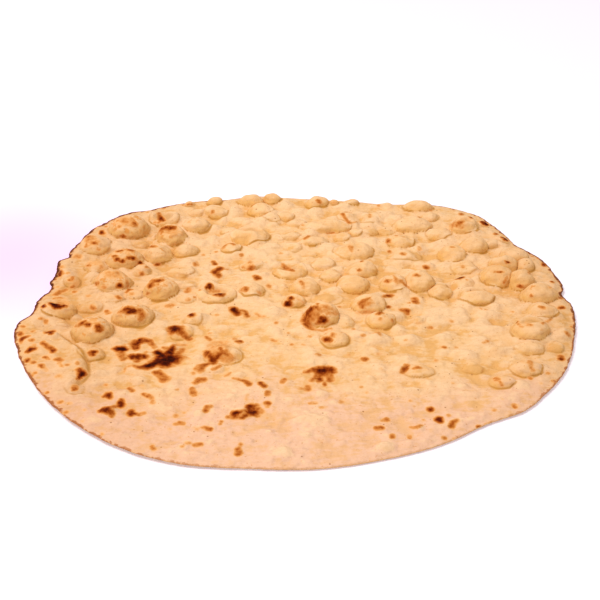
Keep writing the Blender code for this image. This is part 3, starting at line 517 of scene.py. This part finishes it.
def soft_noise(x, y, size, seed):
    """A smooth random field, about -1 to 1, whose swells are about size across."""
    draw = np.random.default_rng(seed)
    lattice = draw.uniform(-1.0, 1.0, (LATTICE, LATTICE))
    heading = draw.uniform(*HEADINGS)
    u = (x * math.cos(heading) - y * math.sin(heading)) / size + LATTICE_SHIFT
    v = (x * math.sin(heading) + y * math.cos(heading)) / size + LATTICE_SHIFT
    i = np.floor(u).astype(int)
    j = np.floor(v).astype(int)
    s = smooth_step(0.0, 1.0, u - i)
    t = smooth_step(0.0, 1.0, v - j)
    i0, i1, j0, j1 = i % LATTICE, (i + 1) % LATTICE, j % LATTICE, (j + 1) % LATTICE
    near = lattice[i0, j0] * (1.0 - s) + lattice[i1, j0] * s
    far = lattice[i0, j1] * (1.0 - s) + lattice[i1, j1] * s
    return near * (1.0 - t) + far * t


def curl(share, angle):
    height = around([(math.radians(a), v) for a, v in CURL], angle)
    return height * smooth_step(FLAT_SHARE, CURL_SHARE, share) ** CURL_POWER


def small_pillows():
    """Low swells a few millimetres across, drawn where the dough puffed up: most at the back."""
    draw = np.random.default_rng(PILLOW_SEED)
    rows = []
    while len(rows) < SMALL_PILLOWS:
        x = draw.uniform(-HALF_WIDTH, HALF_WIDTH)
        y = draw.uniform(-HALF_DEPTH, HALF_DEPTH)
        size, stretch, slope, chance = draw.uniform(0.0, 1.0, 4)
        inside = math.hypot(x / HALF_WIDTH, y / HALF_DEPTH) < PILLOW_SHARE
        puffed = smooth_step(*PILLOW_BAND, y + PILLOW_ASIDE * abs(x))
        if inside and chance < PILLOW_CHANCE + (1.0 - PILLOW_CHANCE) * puffed:
            half_depth = PILLOW_SIZE[0] + PILLOW_SIZE[1] * size**MOSTLY_SMALL
            rise = (PILLOW_SLOPE[0] + PILLOW_SLOPE[1] * slope) * half_depth
            rows.append((x, y, half_depth * (1.0 + PILLOW_STRETCH * stretch), half_depth, rise))
    return rows


def bend(x, y):
    """The plane with its points moved about a little, so that round forms drawn on it come out uneven."""
    bent_x, bent_y = x, y
    for far, size, seed_x, seed_y in BENDS:
        bent_x = bent_x + far * soft_noise(x, y, size, seed_x)
        bent_y = bent_y + far * soft_noise(x, y, size, seed_y)
    return bent_x, bent_y


def blister_skin(reach, direction, half_width, half_depth, rise):
    """A blister's height, how far its skin leans out as a share of its radius, and the mask of painted shade
    along its foot.

    Reach is how far each point is from the middle, in blister radii."""
    away = np.minimum(reach, 1.0)
    turn = away * math.pi / 2.0
    steep = smooth_step(*STEEP_AT, rise / half_depth)
    sharp = 0.5 - 0.5 * np.sin(direction - SHARP_TURN)
    power = CUSHION_POWER - steep * (BUBBLE_POWER[0] + BUBBLE_POWER[1] * sharp)
    dome = (1.0 - SWELL) * rise * np.cos(turn) ** power
    out = (np.sin(turn) / away - 1.0) * steep * (BULGE[0] + BULGE[1] * sharp)
    foot = (reach - 1.0) * 0.5 * (half_width + half_depth)
    # Painted shade along the foot, strongest on the sharp side.
    beside = np.where(foot < 0.0, foot / CREASE_SHADE_HALF[0], foot / CREASE_SHADE_HALF[1])
    crease_shade = (1.0 - smooth_step(0.0, 1.0, np.abs(beside))) * min(1.0, rise / FULL_CREASE_SHADE)
    return dome, out, crease_shade * (CREASE_SHADE_BACK + (1.0 - CREASE_SHADE_BACK) * sharp)


def blow_up(x, y):
    """Where each point of the flat sheet goes as the blisters puff up: sideways shifts and height.

    The fourth field is the mask of painted shade: 1 along a blister's foot, fading out on both sides of it."""
    first, second, swell, crease_shade, shift_x, shift_y = np.zeros((6, len(x)))
    bent_x, bent_y = bend(x, y)
    for middle_x, middle_y, half_width, half_depth, rise in BLISTERS:
        u = (bent_x - middle_x) / half_width
        v = (bent_y - middle_y) / half_depth
        near = np.hypot(u, v) < SWELL_REACH[1]
        u, v = u[near], v[near]
        reach = np.maximum(np.hypot(u, v), TINY)
        swell[near] = np.maximum(swell[near], SWELL * rise * (1.0 - smooth_step(*SWELL_REACH, reach)))
        dome, out, foot_shade = blister_skin(reach, np.arctan2(v, u), half_width, half_depth, rise)
        before = first[near]
        higher = dome > before
        crease_shade[near] = np.where(higher | (before < LOW_SKIN), foot_shade, crease_shade[near])
        second[near] = np.where(higher, before, np.maximum(second[near], dome))
        first[near] = np.where(higher, dome, before)
        shift_x[near] = np.where(higher, out * u * half_width, shift_x[near])
        shift_y[near] = np.where(higher, out * v * half_depth, shift_y[near])
    # Towards a crease between two blisters the sideways shift dies away, so that no two skins cross.
    clear = smooth_step(0.0, CLEAR_SHARE, (first - second) / np.maximum(first, LEAST_SKIN))
    return shift_x * clear, shift_y * clear, first + swell, crease_shade


def pillow_height(x, y):
    height = np.zeros_like(x)
    bent_x, bent_y = bend(x, y)
    for middle_x, middle_y, half_width, half_depth, rise in small_pillows():
        away = np.hypot((bent_x - middle_x) / half_width, (bent_y - middle_y) / half_depth)
        height = np.maximum(height, rise * np.clip(1.0 - away**2, 0.0, 1.0) ** PILLOW_POWER)
    return height


def from_line(x, y, start, end):
    """How far along a straight line each point is, 0 to 1, and how far it is from the line."""
    run_x = end[0] - start[0]
    run_y = end[1] - start[1]
    off_x = x - start[0]
    off_y = y - start[1]
    along = np.clip((off_x * run_x + off_y * run_y) / max(run_x**2 + run_y**2, TINY), 0.0, 1.0)
    return along, np.hypot(off_x - along * run_x, off_y - along * run_y)


def on_left(x, y, start, end):
    """1 on the left of a line going from start to end, -1 on the right."""
    return np.sign((end[0] - start[0]) * (y - start[1]) - (end[1] - start[1]) * (x - start[0]))


def fold_height(x, y):
    """How far the folds lift each point, and a mask of painted shade along their feet."""
    height = np.zeros_like(x)
    foot = np.zeros_like(x)
    for line, step, fade in FOLDS:
        nearest = np.full_like(x, np.inf)
        side = np.zeros_like(x)
        along = np.zeros_like(x)
        for number, (start, end) in enumerate(zip(line[:-1], line[1:])):
            part, off = from_line(x, y, start, end)
            closer = off < nearest
            nearest = np.where(closer, off, nearest)
            side = np.where(closer, on_left(x, y, start, end), side)
            along = np.where(closer, (number + part) / (len(line) - 1), along)
        beside = nearest * side
        taper = np.sin(math.pi * np.clip(along, FOLD_ENDS, 1.0 - FOLD_ENDS)) ** FOLD_TAPER
        bank = smooth_step(*FOLD_BANK, beside) * (1.0 - smooth_step(FOLD_BANK[1], fade, beside))
        height = np.maximum(height, step * taper * bank)
        # Painted shade along the fold's foot.
        outside = np.where(beside < 0.0, -beside / FOLD_SHADE_HALF[0], beside / FOLD_SHADE_HALF[1])
        foot = np.maximum(foot, FOLD_SHADE * taper * (1.0 - smooth_step(0.0, 1.0, outside)))
    return height, foot


def dent_depth(x, y):
    """How far the fallen tops went down, and a field that is 1 inside them."""
    depth = np.zeros_like(x)
    fallen = np.zeros_like(x)
    for middle_x, middle_y, half_width, half_depth, fall in DENTS:
        away = np.hypot((x - middle_x) / half_width, (y - middle_y) / half_depth)
        inside = 1.0 - smooth_step(DENT_FLOOR, 1.0, away)
        depth = np.maximum(depth, fall * inside)
        fallen = np.maximum(fallen, inside)
    return depth, fallen


def valley_depth(x, y):
    depth = np.zeros_like(x)
    for start_x, start_y, end_x, end_y, half_width, fall in VALLEYS:
        off = from_line(x, y, (start_x, start_y), (end_x, end_y))[1]
        depth = np.maximum(depth, fall * (1.0 - smooth_step(0.0, 1.0, off / half_width)))
    return depth


def dough_relief(x, y):
    """Swells, wrinkles and pocks of the dough between and on the blisters, strongest at the back."""
    back = smooth_step(*RELIEF_BAND, y)
    relief = np.zeros_like(x)
    for height, more, size, seed, squeeze in RELIEF:
        relief += (height + more * back) * soft_noise(squeeze * x, y, size, seed)
    return relief


def seen_on_sheet(x, y, z):
    """Where the line of sight through each point meets the sheet's level."""
    eye_x, eye_y, eye_z = CAMERA_PLACE / MM
    on = (eye_z - SHEET) / (eye_z - z)
    return eye_x + (x - eye_x) * on, eye_y + (y - eye_y) * on


def waver(x, y, seed):
    return sum(far * soft_noise(x, y, size, seed + k) for k, (far, size) in enumerate(MARK_WAVER))


def burn_at(x, y, z):
    """How scorched each point is, 0 to a little over 1, and how toasted the skin round it."""
    seen_x, seen_y = seen_on_sheet(x, y, z)
    nearness = z - NEARER_FRONT * y
    warp_x = waver(x, y, MARK_SEEDS[0])
    warp_y = waver(x, y, MARK_SEEDS[1])
    burn = np.zeros_like(x)
    toast = np.zeros_like(x)
    pieces = [(spot, spot) for spot in SPOTS]
    pieces += [piece for line in STREAKS for piece in zip(line, line[1:])]
    for (start_x, start_y, start_half, start_burn), (end_x, end_y, end_half, end_burn) in pieces:
        # The skin that the line of sight meets first carries the mark, and nothing behind it.
        off_sight = np.hypot(seen_x - (start_x + end_x) / 2.0, seen_y - (start_y + end_y) / 2.0)
        on_line = np.flatnonzero(off_sight < SIGHT_HALF)
        if not len(on_line):
            continue
        first = on_line[np.argmax(nearness[on_line])]
        widest = max(start_half, end_half)
        length = math.hypot(end_x - start_x, end_y - start_y)
        reach = 0.5 * length + MARK_REACH[0] * widest + MARK_REACH[1]
        off = np.sqrt((x - x[first]) ** 2 + (y - y[first]) ** 2 + (z - z[first]) ** 2)
        near = np.flatnonzero(off < reach)
        uneven = min(1.0, WAVER_SHARE * widest)
        u = seen_x[near] + uneven * warp_x[near]
        v = seen_y[near] + uneven * warp_y[near]
        along, beside = from_line(u, v, (start_x, start_y), (end_x, end_y))
        half = start_half + (end_half - start_half) * along
        strength = (start_burn + (end_burn - start_burn) * along) / 100.0
        strength = strength * (1.0 + DARKEN - DARKEN * strength)
        away = beside / (MARK_SPREAD[0] * half + MARK_SPREAD[1])
        joined = 1.0 - smooth_step(MARK_END, 1.0, off[near] / reach)
        peak = strength * (1.0 + MOTTLE * warp_x[near]) * joined
        burn[near] = np.maximum(burn[near], peak * (1.0 - smooth_step(*MARK_FADE, away)))
        halo = beside / (half + HALO_WIDTH)
        toast[near] = np.maximum(toast[near], strength * joined * np.exp(-(halo**2) * HALO_FADE))
    return burn, toast


def slab():
    """A square grid of side 2 made into a slab: 0 at the underside, 1 on top, two rings between."""
    bm = bmesh.new()
    bmesh.ops.create_grid(bm, x_segments=GRID_CELLS, y_segments=GRID_CELLS, size=1.0)
    grown = bmesh.ops.extrude_face_region(bm, geom=bm.faces[:])
    top = [item for item in grown["geom"] if isinstance(item, bmesh.types.BMVert)]
    bmesh.ops.translate(bm, verts=top, vec=(0.0, 0.0, 1.0))
    upright = [e for e in bm.edges if abs(e.verts[0].co.z - e.verts[1].co.z) > 0.5]
    bmesh.ops.subdivide_edges(bm, edges=upright, cuts=2)
    bmesh.ops.recalc_face_normals(bm, faces=bm.faces[:])
    mesh = bpy.data.meshes.new("taftoon_bread")
    bm.to_mesh(mesh)
    bm.free()
    return mesh


def keep(mesh, name, values):
    """Stores a number for each point of the mesh, for the material to read."""
    mesh.attributes.new(name, "FLOAT", "POINT").data.foreach_set("value", values.astype(np.float32))


def ragged_edge(angle, rim_burn):
    """The edge's radius by direction, uneven where the edge is browned."""
    edge = edge_radius(angle)
    rim_x = edge * np.cos(angle)
    rim_y = edge * np.sin(angle)
    for far, size, seed in RAGGED:
        edge = edge + far * soft_noise(rim_x, rim_y, size, seed) * rim_burn
    return edge


def shape_bread(mesh):
    points = np.empty(len(mesh.vertices) * 3, dtype=np.float32)
    mesh.vertices.foreach_get("co", points)
    points = points.reshape(-1, 3).astype(float)
    level = points[:, 2].copy()
    share, angle = square_to_disc(points[:, 0], points[:, 1])

    oval = oval_radius(angle)
    rim_burn = around([(math.radians(a), v) for a, v in RIM_BURN], angle)
    edge = ragged_edge(angle, rim_burn)
    radius = share * (oval + (edge - oval) * share**EDGE_PULL)
    bulge = RIM_BULGE * np.sin(math.pi * level) * smooth_step(RIM_SHARE, 1.0, share)
    flat_x = (radius + bulge) * np.cos(angle)
    flat_y = (radius + bulge) * np.sin(angle)

    from_edge = (1.0 - share) * edge
    inward = smooth_step(0.0, RIM_BAND, from_edge)
    shift_x, shift_y, blown, crease_shade = blow_up(flat_x, flat_y)
    x = flat_x + shift_x * inward * level
    y = flat_y + shift_y * inward * level
    relief = dough_relief(x, y)
    sheet = RIM + (SHEET - RIM) * inward + relief * inward - valley_depth(x, y)
    dent, fallen = dent_depth(x, y)
    blown = blown - dent * smooth_step(0.0, DENTED_HEIGHT, blown)
    pillows = pillow_height(x, y) * (1.0 - smooth_step(*PILLOW_ROOM, blown))
    fold, fold_foot_shade = fold_height(x, y)
    # Painted shade along the feet of blisters and folds, and inside dents.
    crease_shade = np.maximum(crease_shade, np.maximum(fold_foot_shade, DENT_SHADE * fallen))
    sheet = sheet + (PILLOW_RISE * pillows + fold) * inward
    thickness = np.clip(sheet + blown * inward, RIM * THINNEST, None)
    z = curl(share, angle) + level * thickness

    x -= (x.min() + x.max()) / 2.0
    y -= (y.min() + y.max()) / 2.0
    points = np.stack([x, y, z], axis=1) * MM
    mesh.vertices.foreach_set("co", points.astype(np.float32).ravel())
    mesh.update()

    top = np.flatnonzero(level > ON_TOP)
    burn = np.zeros_like(x)
    toast = np.zeros_like(x)
    burn[top], toast[top] = burn_at(x[top], y[top], z[top])
    keep(mesh, "burn", burn)
    keep(mesh, "toast", toast)
    # the mask of painted shade at the feet and in dents, for the material
    keep(mesh, "crease_shade", crease_shade * inward * level)
    keep(mesh, "from_edge", from_edge)
    keep(mesh, "rim_burn", rim_burn)
    # the valleys' depth, kept for the painted shade in them
    keep(mesh, "valley_shade", valley_depth(x, y))
    # the relief, kept for the painted highlight on swells and the painted shade in hollows
    keep(mesh, "relief", (relief + PILLOW_RISE * pillows) * inward)
    # blister heights, kept for the freckles and for the painted highlight on the domes' tops
    keep(mesh, "blown", blown * inward)
    keep(mesh, "level", level)


# ---- Materials ------------------------------
def linear(red, green, blue):
    """The shader's colour for one given as 0 to 255 on a screen."""
    return tuple(((c / 255.0 + 0.055) / 1.055) ** 2.4 if c > 10 else c / 3294.0
                 for c in (red, green, blue)) + (1.0,)


class Nodes:
    """Short ways to add the nodes of one material. An input is a number, a colour or another's output."""

    def __init__(self, name):
        self.material = bpy.data.materials.new(name)
        self.material.use_nodes = True
        self.tree = self.material.node_tree
        self.shader = self.tree.nodes["Principled BSDF"]

    def fill(self, node, inputs):
        for name, value in inputs.items():
            if isinstance(value, bpy.types.NodeSocket):
                self.tree.links.new(value, node.inputs[name])
            else:
                node.inputs[name].default_value = value

    def add(self, kind, inputs, **settings):
        node = self.tree.nodes.new("ShaderNode" + kind)
        for name, value in settings.items():
            setattr(node, name, value)
        self.fill(node, inputs)
        return node

    def attribute(self, name):
        return self.add("Attribute", {}, attribute_name=name).outputs["Fac"]

    def place(self):
        return self.add("TexCoord", {}).outputs["Object"]

    def noise(self, size, detail=2.0, rough=0.5, stretch=1.0):
        """Noise whose swells are about size across, in millimetres, and stretch times as long in x."""
        across = self.add("Mapping", {"Vector": self.place(), "Scale": (1.0 / stretch, 1.0, 1.0)})
        return self.add("TexNoise", {
            "Vector": across.outputs["Vector"], "Scale": 1.0 / (size * MM), "Detail": detail,
            "Roughness": rough,
        }).outputs["Fac"]

    def nearest_point(self, size):
        """The distance to the nearest of points strewn about size millimetres apart, as a share of it."""
        inputs = {"Vector": self.place(), "Scale": 1.0 / (size * MM)}
        return self.add("TexVoronoi", inputs).outputs["Distance"]

    def parts(self, vector):
        """The x, y and z of a vector, by the names X, Y and Z."""
        return self.add("SeparateXYZ", {"Vector": vector}).outputs

    def math(self, operation, a, b=0.0):
        return self.add("Math", {0: a, 1: b}, operation=operation).outputs[0]

    def plus(self, a, b):
        return self.math("ADD", a, b)

    def times(self, a, b):
        return self.math("MULTIPLY", a, b)

    def swing(self, noise, reach):
        """Noise of 0 to 1 made into a field round 0, reach from its lowest to its highest."""
        return self.times(self.math("SUBTRACT", noise, 0.5), reach)

    def spread(self, value, low, high, to_low=0.0, to_high=1.0):
        """A smooth step, from to_low where the value is low to to_high where it is high."""
        return self.add("MapRange", {
            "Value": value, "From Min": low, "From Max": high, "To Min": to_low, "To Max": to_high,
        }, interpolation_type="SMOOTHSTEP").outputs["Result"]

    def mix(self, share, a, b, how="MIX"):
        node = self.add("Mix", {}, data_type="RGBA", blend_type=how)
        self.fill(node, {"Factor": share, "A": a, "B": b})
        return node.outputs["Result"]

    def ramp(self, value, stops):
        node = self.add("ValToRGB", {"Fac": value})
        elements = node.color_ramp.elements
        while len(elements) < len(stops):
            elements.new(1.0)
        for element, (place, colour) in zip(elements, stops):
            element.position = place
            element.color = colour
        return node.outputs["Color"]

    def bump(self, height, distance, strength, before):
        """Bumps of a height in millimetres, on top of those before."""
        inputs = {"Height": height, "Distance": distance * MM, "Strength": strength}
        return self.add("Bump", {**inputs, **before}).outputs["Normal"]


# The change from PEACH at the front to STRAW at the back is painted light colour.
PEACH = linear(226, 179, 147)
STRAW = linear(228, 183, 133)
# Painted shade in the hollows and valleys.
HOLLOW_SHADE = linear(218, 163, 97)
# Painted highlight on the swells.
SWELL_HIGHLIGHT = linear(234, 193, 150)
# Painted shade along the feet of blisters and folds, and inside dents.
CREASE_SHADE = linear(188, 128, 46)
# Painted shade on the blisters' steep sides.
SIDE_SHADE = linear(227, 173, 90)
# Painted highlight on the blisters' tops.
DOME_HIGHLIGHT = linear(236, 189, 139)
GRAIN = linear(206, 148, 92)
BRAN = linear(196, 128, 66)
SPECK = linear(142, 84, 34)
FRECKLE = linear(210, 138, 64)
TOASTED = linear(222, 150, 84)
FLOURY = linear(240, 202, 150)
UNDER_SPOT = linear(190, 120, 58)
# Painted shade: the dough darker towards the left and right.
OUTER_SHADE = (0.89, 0.85, 0.82, 1.0)
FLOOR_WHITE = linear(226, 220, 230)
# Painted lilac shade on the floor beside the bread's left.
FLOOR_LILAC_SHADE = linear(224, 180, 232)

# Colours by how scorched the skin is, from hardly to black, and by how brown the lip is.
SCORCHED = [
    (0.08, linear(233, 180, 124)), (0.22, linear(218, 154, 90)), (0.38, linear(198, 122, 54)),
    (0.54, linear(166, 84, 22)), (0.68, linear(124, 46, 0)), (0.80, linear(84, 20, 0)),
    (0.93, linear(44, 6, 0)),
]
BROWNED_LIP = [
    (0.0, linear(220, 162, 108)), (0.3, linear(180, 112, 66)), (0.65, linear(110, 56, 24)),
    (1.0, linear(48, 20, 10)),
]
# Fine bumps of the crust: (size, detail, roughness, stretch in x, height, strength).
BUMPS = [(7.0, 1.0, 0.4, 1.0, 2.2, 0.9), (4.5, 0.0, 0.4, 2.4, 1.3, 0.8), (1.8, 0.0, 0.5, 1.0, 0.3, 0.6)]


def dough_colour(n, place, patch):
    """Peach at the front and straw at the back, a painted change in the light's colour, with a painted
    highlight on the swells and painted shade in the hollows.
    """
    # Painted light colour: the tint goes from peach at the front to straw at the back.
    to_back = n.plus(n.spread(place["Y"], -0.19, -0.03), n.math("SUBTRACT", n.noise(42.0, 3.0), 0.5))
    colour = n.mix(n.spread(to_back, 0.1, 0.9), PEACH, STRAW)
    uneven = n.plus(n.swing(patch, 4.0), n.swing(n.noise(5.0, 2.0), 2.8))
    uneven = n.plus(uneven, n.swing(n.noise(3.2, 2.0, 0.55, 3.2), 3.6))
    relief = n.plus(n.attribute("relief"), uneven)
    # Painted highlight on the swells and painted shade in the hollows, by the relief's height with some
    # noise, the shade stronger at the back.
    colour = n.mix(n.spread(relief, 0.3, 1.9, to_high=0.7), colour, SWELL_HIGHLIGHT)
    low = n.times(n.spread(relief, 0.25, -1.5, to_high=0.95), n.spread(to_back, 0.0, 0.8, to_low=0.5))
    return n.mix(low, colour, HOLLOW_SHADE)


def blister_colour(n, colour):
    """Painted highlight on the tops of the domes, painted golden shade on their steep sides, painted brown
    shade along each foot, and painted tan shade in the valleys.
    """
    upright = n.parts(n.add("NewGeometry", {}).outputs["Normal"])
    # Painted highlight: the higher the blister, the paler its top.
    colour = n.mix(n.spread(n.attribute("blown"), 2.0, 8.0, to_high=0.5), colour, DOME_HIGHLIGHT)
    # Painted shade on steep sides, by how far the normal leans from upright.
    colour = n.mix(n.spread(upright["Z"], 0.88, 0.4, to_high=0.6), colour, SIDE_SHADE)
    # Painted brown shade along the feet of blisters and folds, and inside dents.
    colour = n.mix(n.spread(n.attribute("crease_shade"), 0.05, 0.65, to_high=0.88), colour, CREASE_SHADE)
    # Painted tan shade in the shallow valleys.
    return n.mix(n.spread(n.attribute("valley_shade"), 0.2, 1.2, to_high=0.45), colour, HOLLOW_SHADE)


def speck_colour(n, colour, place):
    """Grain, fine flecks of bran and a few coarser dark ones, and painted shade darkening the dough towards
    the left and right.
    """
    grain = n.noise(2.4, 2.0, 0.55)
    colour = n.mix(n.spread(grain, 0.34, 0.56, to_low=0.14, to_high=0.0), colour, GRAIN)
    colour = n.mix(n.spread(n.noise(2.0, 1.0), 0.68, 0.76, to_high=0.55), colour, BRAN)
    colour = n.mix(n.spread(n.nearest_point(11.0), 0.085, 0.045, to_high=0.7), colour, SPECK)
    # Painted shade, darkening the dough towards the left and right edges.
    aside = n.math("ABSOLUTE", n.math("SUBTRACT", place["X"], 0.04))
    return n.mix(n.spread(aside, 0.08, 0.24), colour, OUTER_SHADE, "MULTIPLY")


def freckle_colour(n, colour, place):
    """Freckles on the tops of the left blisters, which stood nearest to the oven's heat."""
    high = n.spread(n.attribute("blown"), 6.0, 11.0)
    freckle = n.times(n.spread(n.noise(4.2, 2.0), 0.50, 0.62), high)
    freckle = n.times(freckle, n.spread(place["X"], -0.06, -0.14, to_low=0.1, to_high=0.9))
    return n.mix(freckle, colour, FRECKLE)


def scorch_field(n):
    """How scorched the skin is, ragged where it is scorched at all."""
    burn = n.attribute("burn")
    ragged = n.times(n.swing(n.noise(3.2, 3.0, 0.6), 0.75), n.spread(burn, 0.02, 0.5))
    return n.plus(burn, ragged)


def scorch_colour(n, colour, patch, scorch):
    """Toasted skin round the scorch marks, and the marks."""
    toast = n.times(n.attribute("toast"), n.spread(patch, 0.3, 0.65, to_low=0.45, to_high=0.95))
    colour = n.mix(n.spread(toast, 0.05, 0.8, to_high=0.85), colour, TOASTED)
    return n.mix(n.spread(scorch, 0.05, 0.34), colour, n.ramp(n.times(scorch, 0.8), SCORCHED))


def lip_colour(n, colour):
    """The browned lip, wider where it is darker."""
    browned = n.attribute("rim_burn")
    from_edge = n.plus(n.attribute("from_edge"), n.swing(n.noise(6.0, 3.0, 0.6), 9.0))
    width = n.plus(n.times(n.times(browned, browned), 5.2), 0.9)
    lip = n.times(n.spread(n.math("DIVIDE", from_edge, width), 1.0, 0.0), browned)
    return n.mix(n.spread(lip, 0.03, 0.4), colour, n.ramp(lip, BROWNED_LIP))


def underside_colour(n, colour):
    """Floury, with small toasted spots."""
    spots = n.spread(n.noise(7.0, 2.0, 0.6), 0.56, 0.70, to_high=0.75)
    under = n.mix(spots, FLOURY, UNDER_SPOT)
    return n.mix(n.spread(n.attribute("level"), 0.5, 0.0), colour, under)


def crust_material():
    n = Nodes("crust")
    place = n.parts(n.place())
    patch = n.noise(9.0, 3.0, 0.6)
    scorch = scorch_field(n)
    colour = dough_colour(n, place, patch)
    colour = blister_colour(n, colour)
    colour = speck_colour(n, colour, place)
    colour = freckle_colour(n, colour, place)
    colour = scorch_colour(n, colour, patch, scorch)
    colour = lip_colour(n, colour)
    colour = underside_colour(n, colour)
    roughness = n.spread(scorch, 0.2, 0.9, to_low=0.66, to_high=0.85)
    n.fill(n.shader, {"Base Color": colour, "Roughness": roughness, "Specular IOR Level": 0.06})
    before = {}
    for size, detail, rough, stretch, height, strength in BUMPS:
        before = {"Normal": n.bump(n.noise(size, detail, rough, stretch), height, strength, before)}
    n.fill(n.shader, before)
    return n.material


def floor_material():
    n = Nodes("white_floor")
    # Painted lilac shade on the floor beside the bread's left.
    beside = n.add("VectorMath", {0: n.place(), 1: LILAC_SHADE_PLACE}, operation="DISTANCE")
    colour = n.mix(n.spread(beside.outputs["Value"], LILAC_SHADE_REACH, 0.0), FLOOR_WHITE, FLOOR_LILAC_SHADE)
    n.fill(n.shader, {
        "Base Color": colour, "Roughness": 0.9, "Specular IOR Level": 0.0,
        "Emission Color": FLOOR_GLOW, "Emission Strength": FLOOR_GLOW_STRENGTH,
    })
    return n.material


# ---- The bread ------------------------------
def make_bread():
    mesh = slab()
    shape_bread(mesh)
    mesh.materials.append(crust_material())
    mesh.shade_smooth()
    bread = bpy.data.objects.new("bread_crust", mesh)
    bpy.context.scene.collection.objects.link(bread)

    level = np.empty(len(mesh.vertices), dtype=np.float32)
    mesh.attributes["level"].data.foreach_get("value", level)
    underside = bread.vertex_groups.new(name="underside")
    underside.add(np.flatnonzero(level < BELOW).tolist(), 1.0, "REPLACE")
    thin = bread.modifiers.new("thin_out", "DECIMATE")
    thin.vertex_group = underside.name
    thin.ratio = KEPT_SHARE
    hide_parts("bread")
    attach(bread, "root")


def make_floor():
    bpy.ops.mesh.primitive_plane_add(size=FLOOR_SIZE, location=(0.0, 0.0, -FLOOR_DROP))
    floor = bpy.context.object
    floor.name = "floor"
    floor.data.materials.append(floor_material())


def make_studio():
    world = bpy.data.worlds.new("studio")
    world.use_nodes = True
    world.node_tree.nodes["Background"].inputs["Color"].default_value = SKY
    world.node_tree.nodes["Background"].inputs["Strength"].default_value = SKY_STRENGTH
    bpy.context.scene.world = world
    data = bpy.data.lights.new("key", "AREA")
    data.size = KEY_SIZE
    data.energy = KEY_WATTS
    data.color = KEY_COLOUR
    key = bpy.data.objects.new("key", data)
    key.location = KEY_PLACE
    key.rotation_euler = (-KEY_PLACE).to_track_quat("-Z", "Y").to_euler()
    bpy.context.scene.collection.objects.link(key)


def make_camera():
    data = bpy.data.cameras.new("camera")
    data.lens = LENS
    data.sensor_width = SENSOR
    data.clip_start = 0.01
    camera = bpy.data.objects.new("camera", data)
    camera.location = CAMERA_PLACE
    camera.rotation_euler = (LOOK_AT - CAMERA_PLACE).to_track_quat("-Z", "Y").to_euler()
    bpy.context.scene.collection.objects.link(camera)
    bpy.context.scene.camera = camera


make_bread()
make_floor()
make_studio()
make_camera()
bpy.context.scene.view_settings.view_transform = "Standard"
